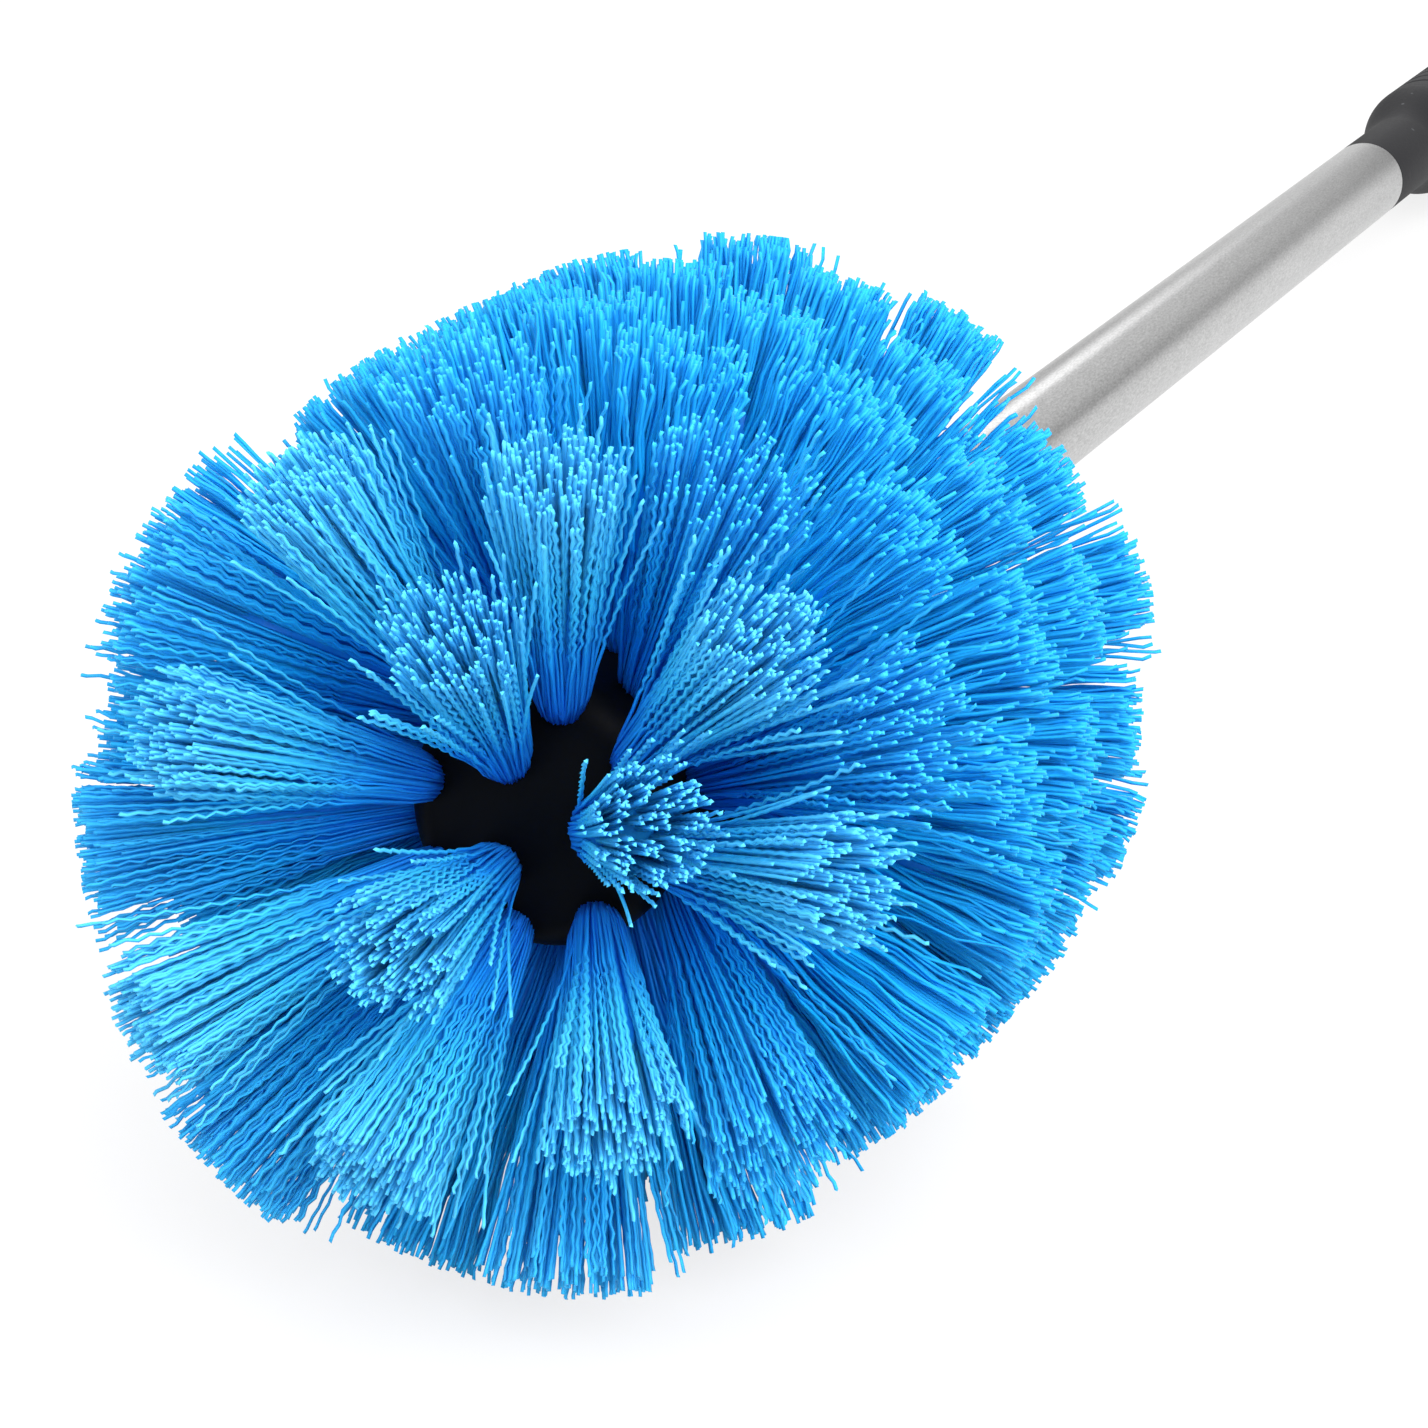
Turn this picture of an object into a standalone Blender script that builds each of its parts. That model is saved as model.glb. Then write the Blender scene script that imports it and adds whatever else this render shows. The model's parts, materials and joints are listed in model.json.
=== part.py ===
"""Round tufted brush head on an aluminium tube handle, lying on the plane z = 0.

Everything is modelled about one straight brush axis. In the pieces' own frame that axis is +Z, with
z = 0 where the nose of the head meets its side and +Z towards the grip. Angles round the axis are
measured from +X, which is the side that faces the ground. One empty lays the whole brush down so that
its rear rows of tufts and its grip all touch the ground. All lengths are in metres.
"""

import math

import bmesh
import bpy
from mathutils import Euler, Matrix, Vector

# Driving dimensions

CLEARANCE = 0.0003          # gap between neighbouring pieces

# Core of the head
CORE_RADIUS = 0.0210
SPINDLE_RADIUS = 0.0155     # the core behind its nose, which carries the rows
DOME_HEIGHT = 0.0022        # rise of the front face over its edge
EDGE_ROUNDING = 0.0055      # between the front face and the side
EDGE_Z = 0.0042             # where that rounding runs out into the side
NOSE_LENGTH = 0.0080        # from z = 0 to the step behind the nose
COLLAR_LENGTH = 0.0095
COLLAR_TAPER = 0.0033       # length of its plain front part, before the taper
COLLAR_REAR_RADIUS = 0.0175

# Tufts
HOLE_RADIUS = 0.0035
PLUG_RISE = 0.0012          # of a tuft's root above the mouth of its hole
TUFT_LENGTH = 0.0490        # free length of the bristles
FRONT_TUFT_EXTRA = 0.0040   # how much longer those round the edge of the face and in the first row are
BUNDLE_RADIUS = 0.0021      # circle of the outer strands where a tuft leaves the core
FAN_RADIUS = 0.0085         # the same circle at the tips
OUTER_STRANDS = 4           # strands round the middle one
STRAND_ROOT_RADIUS = 0.0008
STRAND_TIP_RADIUS = 0.0018
STRAND_SIDES = 3
ROOT_SINK = 0.0010          # how far a strand runs into what it grows from

# Front face: three tufts, then eight round its edge
FACE_TUFT_COUNT = 3
FACE_CIRCLE = 0.0093
FACE_PHASE = math.radians(-87.0)
FACE_TILT = math.radians(21.0)
FACE_HOLE_DEPTH = 0.0080
EDGE_TUFT_COUNT = 8
EDGE_CIRCLE = 0.0180
EDGE_PHASE = math.radians(-124.0)
EDGE_TILT = math.radians(54.0)
EDGE_HOLE_DEPTH = 0.0058

# The front tufts lie over towards one side, as they do on the brush shown
LEAN_DIRECTION = math.radians(-142.0)
FACE_LEAN = 0.42
EDGE_LEAN = 0.21
FIRST_ROW_LEAN = 0.10

# Rows of tufts round the side
ROW_PITCH = 0.0116
FIRST_ROW_WIDTH = 0.0080
FIRST_ROW_COUNT = 8
FIRST_ROW_PHASE = math.radians(-101.5)
ROW_COUNT = 10
ROW_PHASE = math.radians(-132.0)
ROW_STEP = math.radians(19.2)   # turn of each full row from the one before
FULL_ROWS = 6
FIRST_ROW_SWEEP = math.radians(-28.0)     # negative leans towards the nose
FULL_ROW_SWEEPS = (-8.0, -1.0, 4.0, 6.5, 9.0, 11.0)

# Anchor staples under the front tufts
STAPLE_THICKNESS = 0.0005
STAPLE_HEIGHT = 0.0022

# Screw joint between head and handle
THREAD_RADIUS = 0.0076      # core of the male thread
THREAD_RIDGE = 0.0009       # radius of its rounded ridge
THREAD_PITCH = 0.0050
THREAD_TURNS = 4
THREAD_LEAD_IN = 0.0040     # plain nose in front of the thread
TIP_CHAMFER = 0.0010
SOCKET_SPARE = 0.0030       # depth of the socket beyond the tip
WASHER_THICKNESS = 0.0015
WASHER_RADIUS = 0.0125
FLANGE_RADIUS = 0.0120
FLANGE_LENGTH = 0.0040
SHANK_LENGTH = 0.0300       # of the tip, inside the tube
RIVET_RADIUS = 0.0015
RIVET_HEAD_RADIUS = 0.0028
RIVET_HEAD_HEIGHT = 0.0009
RIVET_DEPTH = 0.0045        # of its shaft under the tube's outer face

# Tube
TUBE_RADIUS = 0.0095
TUBE_WALL = 0.0012
TUBE_LENGTH = 0.4540

# Grip and its end cap
GRIP_SPIGOT_LENGTH = 0.0400
GRIP_NECK_LENGTH = 0.0400   # flush with the tube
GRIP_SWELL_LENGTH = 0.0250
GRIP_BODY_LENGTH = 0.0600
GRIP_RADIUS = 0.0140
GRIP_END_ROUNDING = 0.0030
CAP_SPIGOT_RADIUS = 0.0060
CAP_SPIGOT_LENGTH = 0.0120
CAP_RIM_RADIUS = 0.0110
CAP_RIM_LENGTH = 0.0030
CAP_CHAMFER = 0.0010
CAP_LUG_LENGTH = 0.0195
CAP_LUG_WIDTH = 0.0200
CAP_LUG_THICKNESS = 0.0060
CAP_LUG_ROUNDING = 0.0060
HANG_HOLE_RADIUS = 0.0050
HANG_HOLE_EDGE = 0.0100      # from its middle to the end of the lug

# Lying on the ground
GROUND_CUT = 0.0005         # depth to which the lowest tips are cut flat

TURNED_STEPS = 32
SMALL_STEPS = 16
MERGE = 0.00005

# Places along the axis, worked out from the sizes above

FRONT_TUFT_LENGTH = TUFT_LENGTH + FRONT_TUFT_EXTRA
ROWS_START = NOSE_LENGTH + CLEARANCE
FIRST_FULL_ROW = ROWS_START + FIRST_ROW_WIDTH
COLLAR_START = FIRST_FULL_ROW + FULL_ROWS * ROW_PITCH
CORE_END = COLLAR_START + COLLAR_LENGTH
WASHER_START = CORE_END + CLEARANCE
FLANGE_START = WASHER_START + WASHER_THICKNESS + CLEARANCE
TUBE_START = FLANGE_START + FLANGE_LENGTH + CLEARANCE
TUBE_END = TUBE_START + TUBE_LENGTH
GRIP_START = TUBE_END + CLEARANCE
GRIP_END = GRIP_START + GRIP_NECK_LENGTH + GRIP_SWELL_LENGTH + GRIP_BODY_LENGTH
CAP_START = GRIP_END + CLEARANCE

THREAD_CREST = THREAD_RADIUS + THREAD_RIDGE
THREAD_START = FLANGE_START - THREAD_PITCH * (THREAD_TURNS + 1)
TIP_START = THREAD_START - THREAD_LEAD_IN
SOCKET_RADIUS = THREAD_CREST + CLEARANCE
SOCKET_BOTTOM = TIP_START - SOCKET_SPARE
BORE_RADIUS = TUBE_RADIUS - TUBE_WALL
SHANK_RADIUS = BORE_RADIUS - CLEARANCE
RIVET_PLACE = TUBE_START + SHANK_LENGTH / 2
PLUG_RADIUS = HOLE_RADIUS - CLEARANCE


# Scene helpers

def clear_scene():
    for obj in list(bpy.data.objects):
        bpy.data.objects.remove(obj, do_unlink=True)


def new_collection(name):
    collection = bpy.data.collections.new(name)
    bpy.context.scene.collection.children.link(collection)
    return collection


def material(name, color, roughness, metallic=0.0):
    mat = bpy.data.materials.new(name)
    mat.use_nodes = True
    shader = mat.node_tree.nodes["Principled BSDF"]
    shader.inputs["Base Color"].default_value = (*color, 1.0)
    shader.inputs["Roughness"].default_value = roughness
    shader.inputs["Metallic"].default_value = metallic
    mat.diffuse_color = (*color, 1.0)
    return mat


def add_empty(name, location=(0.0, 0.0, 0.0), rotation=(0.0, 0.0, 0.0), parent=None):
    empty = bpy.data.objects.new(name, None)
    empty.empty_display_size = 0.02
    empty.location = location
    empty.rotation_euler = rotation
    empty.parent = parent
    parts.objects.link(empty)
    return empty


def add_mesh(name, mesh, parent, mat=None):
    obj = bpy.data.objects.new(name, mesh)
    obj.parent = parent
    parts.objects.link(obj)
    if mat is not None:
        obj.data.materials.append(mat)
    return obj


def as_cutter(obj):
    """Move an object to the guides, out of the model itself."""
    parts.objects.unlink(obj)
    guides.objects.link(obj)
    obj.hide_render = True
    obj.display_type = 'WIRE'
    return obj


def boolean(obj, other, operation):
    mod = obj.modifiers.new(operation.title(), 'BOOLEAN')
    mod.operation = operation
    mod.solver = 'EXACT'
    mod.object = other


def smooth(obj, angle=35.0):
    obj.data.shade_smooth()
    obj.data.set_sharp_from_angle(angle=math.radians(angle))


def turned(name, profile, parent, mat, closed=False, steps=TURNED_STEPS):
    """Solid turned about +Z from (radius, z) points that run down its outer side."""
    mesh = bpy.data.meshes.new(name)
    points = [(radius, 0.0, z) for radius, z in profile]
    count = len(points)
    edges = [(i, i + 1) for i in range(count - 1)]
    if closed:
        edges.append((count - 1, 0))
    mesh.from_pydata(points, edges, [])
    obj = add_mesh(name, mesh, parent, mat)
    screw = obj.modifiers.new("Turn", 'SCREW')
    screw.steps = steps
    screw.render_steps = steps
    screw.use_merge_vertices = True
    screw.merge_threshold = MERGE
    screw.use_smooth_shade = True
    return obj


def arc(center, radius, start, end, count):
    """Points on an arc of a profile, angles in degrees from the radial direction."""
    points = []
    for i in range(count + 1):
        angle = math.radians(start + (end - start) * i / count)
        points.append((center[0] + radius * math.cos(angle), center[1] + radius * math.sin(angle)))
    return points


def placed(direction, point):
    """Matrix that puts a primitive's own +Z along a direction, with its middle at a point."""
    return Matrix.Translation(point) @ direction.to_track_quat('Z', 'Y').to_matrix().to_4x4()


def add_cone(bm, start, end, radius_start, radius_end, sides):
    """Cylinder or cone between two points, with both ends closed."""
    along = end - start
    bmesh.ops.create_cone(
        bm, cap_ends=True, segments=sides, radius1=radius_start, radius2=radius_end,
        depth=along.length, matrix=placed(along.normalized(), (start + end) / 2))


def finish_bmesh(bm, name, parent, mat=None):
    mesh = bpy.data.meshes.new(name)
    bm.to_mesh(mesh)
    bm.free()
    return add_mesh(name, mesh, parent, mat)


# Tufts

def radial(angle):
    return Vector((math.cos(angle), math.sin(angle), 0.0))


def face_height(radius):
    """z of the front face at a distance from the axis: a shallow dome, then its rounded edge."""
    flat = CORE_RADIUS - EDGE_ROUNDING
    if radius <= flat:
        return EDGE_Z - EDGE_ROUNDING - DOME_HEIGHT * (1.0 - (radius / flat) ** 2)
    outward = min(radius - flat, EDGE_ROUNDING)
    return EDGE_Z - math.sqrt(EDGE_ROUNDING ** 2 - outward ** 2)


def strand_lines(root, hole, direction, length):
    """Start and tip of each strand of one tuft, which fan out from where it leaves the core."""
    turn = direction.to_track_quat('Z', 'Y')
    spokes = [turn @ radial(2.0 * math.pi * i / OUTER_STRANDS) for i in range(OUTER_STRANDS)]
    lines = []
    for spoke in [Vector((0.0, 0.0, 0.0))] + spokes:
        level = (spoke - hole * spoke.dot(hole)).normalized()
        start = root + level * BUNDLE_RADIUS
        along = (root + direction * length + spoke * FAN_RADIUS - start).normalized()
        lines.append((start, start + along * length))
    return lines


def add_strands(bm, root, hole, direction, length):
    for start, tip in strand_lines(root, hole, direction, length):
        sunk = start - (tip - start).normalized() * ROOT_SINK
        add_cone(bm, sunk, tip, STRAND_ROOT_RADIUS, STRAND_TIP_RADIUS, STRAND_SIDES)


def front_tuft_places():
    """Name, root, hole direction, strand direction, strand length and hole depth of each front tuft."""
    places = []
    rings = (
        ("face", FACE_TUFT_COUNT, FACE_CIRCLE, FACE_PHASE, FACE_TILT, FACE_LEAN, TUFT_LENGTH,
         FACE_HOLE_DEPTH),
        ("edge", EDGE_TUFT_COUNT, EDGE_CIRCLE, EDGE_PHASE, EDGE_TILT, EDGE_LEAN, FRONT_TUFT_LENGTH,
         EDGE_HOLE_DEPTH),
    )
    for ring, count, circle, phase, tilt, lean, length, depth in rings:
        for i in range(count):
            angle = phase + 2.0 * math.pi * i / count
            hole = radial(angle) * math.sin(tilt) - Vector((0, 0, math.cos(tilt)))
            root = radial(angle) * circle + Vector((0, 0, face_height(circle))) + hole * PLUG_RISE
            strands = (hole + radial(LEAN_DIRECTION) * lean).normalized()
            places.append((f"{ring}_tuft_{i + 1}", root, hole, strands, length, depth))
    return places


def full_row_sweep(index):
    """Angle by which the tufts of one full row lean back from square to the axis."""
    return math.radians(FULL_ROW_SWEEPS[index % len(FULL_ROW_SWEEPS)])


def row_places():
    """Name, start, width, strand length, and root, hole and strand directions of the tufts of each row."""
    rows = [("tuft_row_1", ROWS_START, FIRST_ROW_WIDTH, FRONT_TUFT_LENGTH,
             row_tufts(ROWS_START, FIRST_ROW_WIDTH, FIRST_ROW_COUNT, FIRST_ROW_PHASE, FIRST_ROW_SWEEP,
                       FIRST_ROW_LEAN))]
    for i in range(FULL_ROWS):
        start = FIRST_FULL_ROW + i * ROW_PITCH
        phase = ROW_PHASE + i * ROW_STEP
        tufts = row_tufts(start, ROW_PITCH, ROW_COUNT, phase, full_row_sweep(i), 0.0)
        rows.append((f"tuft_row_{i + 2}", start, ROW_PITCH, TUFT_LENGTH, tufts))
    return rows


def row_tufts(start, width, count, phase, sweep, lean):
    """Root, hole direction and strand direction of each tuft of one row."""
    middle = Vector((0, 0, start + (width - CLEARANCE) / 2))
    tufts = []
    for i in range(count):
        out = radial(phase + 2.0 * math.pi * i / count)
        strands = out * math.cos(sweep) + Vector((0, 0, math.sin(sweep)))
        strands = (strands + radial(LEAN_DIRECTION) * lean).normalized()
        tufts.append((out * CORE_RADIUS + middle, out, strands))
    return tufts


def lying_tilt(rows):
    """Angle of the axis to the ground and its height, with the lowest tips and the grip touching it."""
    grip_place = GRIP_END - GRIP_END_ROUNDING
    tilt = 0.0
    for _, _, _, length, tufts in rows:
        for tuft in tufts:
            for _, tip in strand_lines(*tuft, length):
                drop = tip.x - GRIP_RADIUS
                run = grip_place - tip.z
                touching = math.acos(GROUND_CUT / math.hypot(drop, run)) - math.atan2(run, drop)
                tilt = max(tilt, touching)
    return tilt, GRIP_RADIUS * math.cos(tilt) + grip_place * math.sin(tilt)


def build_front_tuft(name, root, hole, strands, length, depth):
    """One tuft: its folded root, which fills the hole, with a slot for the staple, and its strands."""
    bottom = root - hole * (depth - CLEARANCE)
    bm = bmesh.new()
    add_cone(bm, bottom, root, PLUG_RADIUS, PLUG_RADIUS, SMALL_STEPS)
    tuft = finish_bmesh(bm, name, head_axis, bristle)

    bm = bmesh.new()
    add_strands(bm, root, hole, strands, length)
    boolean(tuft, as_cutter(finish_bmesh(bm, name + "_strands", head_axis)), 'UNION')

    slot_height = STAPLE_HEIGHT + CLEARANCE
    slot = bmesh.new()
    size = Matrix.Diagonal((4 * HOLE_RADIUS, STAPLE_THICKNESS + 2 * CLEARANCE, 2 * slot_height, 1.0))
    bmesh.ops.create_cube(slot, size=1.0, matrix=placed(hole, bottom) @ size)
    boolean(tuft, as_cutter(finish_bmesh(slot, name + "_slot", head_axis)), 'DIFFERENCE')
    return bottom


def build_staple(name, bottom, hole):
    """Flat anchor staple, on edge across the folded end of its tuft."""
    bm = bmesh.new()
    size = Matrix.Diagonal((2 * PLUG_RADIUS, STAPLE_THICKNESS, STAPLE_HEIGHT, 1.0))
    middle = bottom + hole * (STAPLE_HEIGHT / 2)
    bmesh.ops.create_cube(bm, size=1.0, matrix=placed(hole, middle) @ size)
    finish_bmesh(bm, name, head_axis, steel)


# Head

def build_core(places):
    """Core in one piece: domed nose with its drilled holes, spindle behind it, socket in the spindle."""
    flat = CORE_RADIUS - EDGE_ROUNDING
    profile = [(0.0, SOCKET_BOTTOM), (SOCKET_RADIUS, SOCKET_BOTTOM), (SOCKET_RADIUS, CORE_END),
               (SPINDLE_RADIUS, CORE_END), (SPINDLE_RADIUS, NOSE_LENGTH), (CORE_RADIUS, NOSE_LENGTH)]
    profile += arc((flat, EDGE_Z), EDGE_ROUNDING, 0.0, -90.0, 5)
    profile += [(flat * k, face_height(flat * k)) for k in (0.66, 0.33, 0.0)]
    core = turned("brush_core", profile, head_axis, black)
    bm = bmesh.new()
    for _, root, hole, _, _, depth in places:
        start, end = root - hole * depth, root + hole * 2 * HOLE_RADIUS
        add_cone(bm, start, end, HOLE_RADIUS, HOLE_RADIUS, SMALL_STEPS)
    boolean(core, as_cutter(finish_bmesh(bm, "tuft_holes", head_axis)), 'DIFFERENCE')
    return core


def build_row(name, start, width, length, tufts):
    """A band of the core with one row of tufts growing from it."""
    inner = SPINDLE_RADIUS + CLEARANCE
    end = start + width - CLEARANCE
    profile = [(CORE_RADIUS, end), (CORE_RADIUS, start), (inner, start), (inner, end)]
    band = turned(name, profile, head_axis, bristle, closed=True)
    bm = bmesh.new()
    for tuft in tufts:
        add_strands(bm, *tuft, length)
    boolean(band, as_cutter(finish_bmesh(bm, name + "_strands", head_axis)), 'UNION')
    boolean(band, ground, 'DIFFERENCE')
    return band


def build_collar():
    """Tapered ring that closes the core behind the last row."""
    inner = SPINDLE_RADIUS + CLEARANCE
    profile = [(inner, CORE_END), (COLLAR_REAR_RADIUS, CORE_END),
               (CORE_RADIUS, COLLAR_START + COLLAR_TAPER),
               (CORE_RADIUS, COLLAR_START), (inner, COLLAR_START)]
    turned("rear_collar", profile, head_axis, black, closed=True)


# Screw joint and handle

def build_washer():
    inner = SOCKET_RADIUS
    end = WASHER_START + WASHER_THICKNESS
    profile = [(inner, end), (WASHER_RADIUS, end), (WASHER_RADIUS, WASHER_START), (inner, WASHER_START)]
    turned("thrust_washer", profile, washer_axis, steel, closed=True)


def thread_ridge():
    """Rounded helical ridge of the male thread, as a closed mesh."""
    per_turn = 12
    curve = bpy.data.curves.new("thread_ridge", 'CURVE')
    curve.dimensions = '3D'
    curve.bevel_depth = THREAD_RIDGE
    curve.bevel_resolution = 1
    curve.render_resolution_u = 0
    curve.use_fill_caps = True
    spline = curve.splines.new('POLY')
    count = per_turn * THREAD_TURNS + 1
    spline.points.add(count - 1)
    for i, point in enumerate(spline.points):
        angle = 2.0 * math.pi * i / per_turn
        z = THREAD_START + THREAD_PITCH * (0.5 + i / per_turn)
        place = radial(angle) * THREAD_RADIUS
        point.co = (place.x, place.y, z, 1.0)
    obj = bpy.data.objects.new("thread_ridge_curve", curve)
    guides.objects.link(obj)
    bpy.context.view_layer.update()
    graph = bpy.context.evaluated_depsgraph_get()
    mesh = bpy.data.meshes.new_from_object(obj.evaluated_get(graph))
    bpy.data.objects.remove(obj, do_unlink=True)
    bm = bmesh.new()
    bm.from_mesh(mesh)
    bmesh.ops.remove_doubles(bm, verts=bm.verts, dist=MERGE)
    bm.to_mesh(mesh)
    bm.free()
    return add_mesh("thread_ridge", mesh, handle_axis)


def build_thread_tip():
    """Plastic tip: threaded end for the head, flange against the washer, shank inside the tube."""
    shank_end = TUBE_START + SHANK_LENGTH
    profile = [(0.0, shank_end), (SHANK_RADIUS - TIP_CHAMFER, shank_end),
               (SHANK_RADIUS, shank_end - TIP_CHAMFER),
               (SHANK_RADIUS, TUBE_START - CLEARANCE), (FLANGE_RADIUS, TUBE_START - CLEARANCE),
               (FLANGE_RADIUS, FLANGE_START), (THREAD_RADIUS, FLANGE_START),
               (THREAD_RADIUS, TIP_START + 2 * TIP_CHAMFER),
               (THREAD_RADIUS - 2 * TIP_CHAMFER, TIP_START),
               (0.0, TIP_START)]
    tip = turned("thread_tip", profile, handle_axis, black)
    boolean(tip, as_cutter(thread_ridge()), 'UNION')
    boolean(tip, rivet_holes, 'DIFFERENCE')


def rivet_line(side):
    """Direction of one of the two rivets, square to the axis and level with the ground."""
    return Vector((0.0, side, 0.0))


def make_rivet_holes():
    bm = bmesh.new()
    for side in (-1.0, 1.0):
        line = rivet_line(side)
        center = Vector((0, 0, RIVET_PLACE))
        bottom = center + line * (TUBE_RADIUS - RIVET_DEPTH - CLEARANCE)
        top = center + line * (TUBE_RADIUS + RIVET_HEAD_HEIGHT)
        radius = RIVET_RADIUS + CLEARANCE
        add_cone(bm, bottom, top, radius, radius, SMALL_STEPS)
    return as_cutter(finish_bmesh(bm, "rivet_holes", handle_axis))


def build_rivet(name, side):
    """Blind rivet: domed head seated on the tube, shaft through its wall into the tip."""
    base = math.sqrt(TUBE_RADIUS ** 2 - RIVET_RADIUS ** 2)
    seat = TUBE_RADIUS + CLEARANCE
    crown = [(RIVET_HEAD_RADIUS * 0.62, seat + RIVET_HEAD_HEIGHT * 0.88),
             (RIVET_HEAD_RADIUS * 0.90, seat + RIVET_HEAD_HEIGHT * 0.55)]
    profile = [(0.0, seat + RIVET_HEAD_HEIGHT)] + crown + [
        (RIVET_HEAD_RADIUS, seat), (RIVET_RADIUS, seat), (RIVET_RADIUS, base - RIVET_DEPTH),
        (0.0, base - RIVET_DEPTH)]
    rivet = turned(name, profile, handle_axis, steel, steps=SMALL_STEPS)
    rivet.rotation_euler = Euler((-side * math.pi / 2, 0.0, 0.0))
    rivet.location = (0.0, 0.0, RIVET_PLACE)


def build_tube():
    profile = [(BORE_RADIUS, TUBE_END), (TUBE_RADIUS, TUBE_END),
               (TUBE_RADIUS, TUBE_START), (BORE_RADIUS, TUBE_START)]
    tube = turned("handle_tube", profile, handle_axis, aluminium, closed=True)
    boolean(tube, rivet_holes, 'DIFFERENCE')


def grip_profile():
    """Outer side of the grip from its rear end down to the tube."""
    neck_end = GRIP_START + GRIP_NECK_LENGTH
    points = arc((GRIP_RADIUS - GRIP_END_ROUNDING, GRIP_END - GRIP_END_ROUNDING), GRIP_END_ROUNDING,
                 90.0, 0.0, 4)
    for i in range(8):
        share = 1.0 - i / 8
        ease = share * share * (3.0 - 2.0 * share)
        radius = TUBE_RADIUS + (GRIP_RADIUS - TUBE_RADIUS) * ease
        points.append((radius, neck_end + GRIP_SWELL_LENGTH * share))
    points += [(TUBE_RADIUS, neck_end), (TUBE_RADIUS, GRIP_START)]
    return points


def build_grip():
    """Moulded grip whose spigot plugs into the tube, with a bore for the end cap."""
    bore = CAP_SPIGOT_RADIUS + CLEARANCE
    bore_bottom = GRIP_END - CAP_SPIGOT_LENGTH - CLEARANCE
    spigot_end = TUBE_END - GRIP_SPIGOT_LENGTH
    profile = [(0.0, bore_bottom), (bore, bore_bottom), (bore, GRIP_END)] + grip_profile()
    profile += [(SHANK_RADIUS, GRIP_START), (SHANK_RADIUS, spigot_end), (0.0, spigot_end)]
    turned("grip", profile, handle_axis, rubber)


def build_cap():
    """End cap: round plug and rim, and a flat lug with the hanging hole, cut square at its end."""
    rim_end = CAP_START + CAP_RIM_LENGTH
    plug_start = GRIP_END - CAP_SPIGOT_LENGTH
    profile = [(0.0, rim_end), (CAP_RIM_RADIUS - CAP_CHAMFER, rim_end),
               (CAP_RIM_RADIUS, rim_end - CAP_CHAMFER),
               (CAP_RIM_RADIUS, CAP_START), (CAP_SPIGOT_RADIUS, CAP_START),
               (CAP_SPIGOT_RADIUS, plug_start), (0.0, plug_start)]
    cap = turned("hang_cap", profile, handle_axis, black, steps=24)
    bm = bmesh.new()
    size = Matrix.Diagonal((CAP_LUG_THICKNESS, CAP_LUG_WIDTH, CAP_LUG_LENGTH + CAP_RIM_LENGTH, 1.0))
    middle = Matrix.Translation((0, 0, rim_end + (CAP_LUG_LENGTH - CAP_RIM_LENGTH) / 2))
    bmesh.ops.create_cube(bm, size=1.0, matrix=middle @ size)
    corners = [e for e in bm.edges if abs(e.verts[0].co.x - e.verts[1].co.x) > CAP_LUG_THICKNESS / 2]
    far_corners = [e for e in corners if e.verts[0].co.z > rim_end]
    bmesh.ops.bevel(bm, geom=far_corners, offset=CAP_LUG_ROUNDING, segments=4, affect='EDGES',
                    profile=0.5)
    boolean(cap, as_cutter(finish_bmesh(bm, "cap_lug", handle_axis)), 'UNION')
    bm = bmesh.new()
    hole = Vector((CAP_LUG_THICKNESS, 0, rim_end + CAP_LUG_LENGTH - HANG_HOLE_EDGE))
    add_cone(bm, hole, Vector((-hole.x, 0, hole.z)), HANG_HOLE_RADIUS, HANG_HOLE_RADIUS, SMALL_STEPS)
    boolean(cap, as_cutter(finish_bmesh(bm, "hang_hole", handle_axis)), 'DIFFERENCE')


def add_ground():
    """Block under the plane z = 0, which cuts the resting tips flat."""
    size = 2.0
    bm = bmesh.new()
    place = Matrix.Translation((0, 0, -size / 2))
    bmesh.ops.create_cube(bm, size=size, matrix=place)
    return as_cutter(finish_bmesh(bm, "ground", None))


def centre_over_origin():
    """Slide the brush along x and y until the middle of its outline is over the origin."""
    bpy.context.view_layer.update()
    graph = bpy.context.evaluated_depsgraph_get()
    low = Vector((math.inf, math.inf))
    high = Vector((-math.inf, -math.inf))
    for obj in parts.objects:
        if obj.type != 'MESH':
            continue
        evaluated = obj.evaluated_get(graph)
        mesh = evaluated.to_mesh()
        for vertex in mesh.vertices:
            place = obj.matrix_world @ vertex.co
            low = Vector((min(low.x, place.x), min(low.y, place.y)))
            high = Vector((max(high.x, place.x), max(high.y, place.y)))
        evaluated.to_mesh_clear()
    handle_axis.location.x -= (low.x + high.x) / 2
    handle_axis.location.y -= (low.y + high.y) / 2


clear_scene()
parts = new_collection("tufted_brush")
guides = new_collection("guides")

bristle = material("bristle_blue", (0.05, 0.42, 0.86), 0.42)
black = material("core_black", (0.012, 0.013, 0.016), 0.55)
steel = material("plated_steel", (0.55, 0.55, 0.53), 0.35, 1.0)
aluminium = material("satin_aluminium", (0.62, 0.62, 0.61), 0.38, 1.0)
rubber = material("grip_black", (0.014, 0.014, 0.015), 0.68)

tuft_rows = row_places()
axis_tilt, axis_height = lying_tilt(tuft_rows)
handle_axis = add_empty("handle_axis", (0.0, 0.0, axis_height), (0.0, math.pi / 2 + axis_tilt, 0.0))
washer_axis = add_empty("washer_axis", parent=handle_axis)
head_axis = add_empty("head_axis", parent=washer_axis)
ground = add_ground()
rivet_holes = make_rivet_holes()

tuft_places = front_tuft_places()
build_core(tuft_places)
for number, place in enumerate(tuft_places, 1):
    tuft_bottom = build_front_tuft(*place)
    build_staple(f"anchor_staple_{number}", tuft_bottom, place[2])
for row in tuft_rows:
    build_row(*row)
build_collar()

build_washer()
build_thread_tip()
build_rivet("tip_rivet_left", -1.0)
build_rivet("tip_rivet_right", 1.0)
build_tube()
build_grip()
build_cap()
centre_over_origin()
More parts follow.
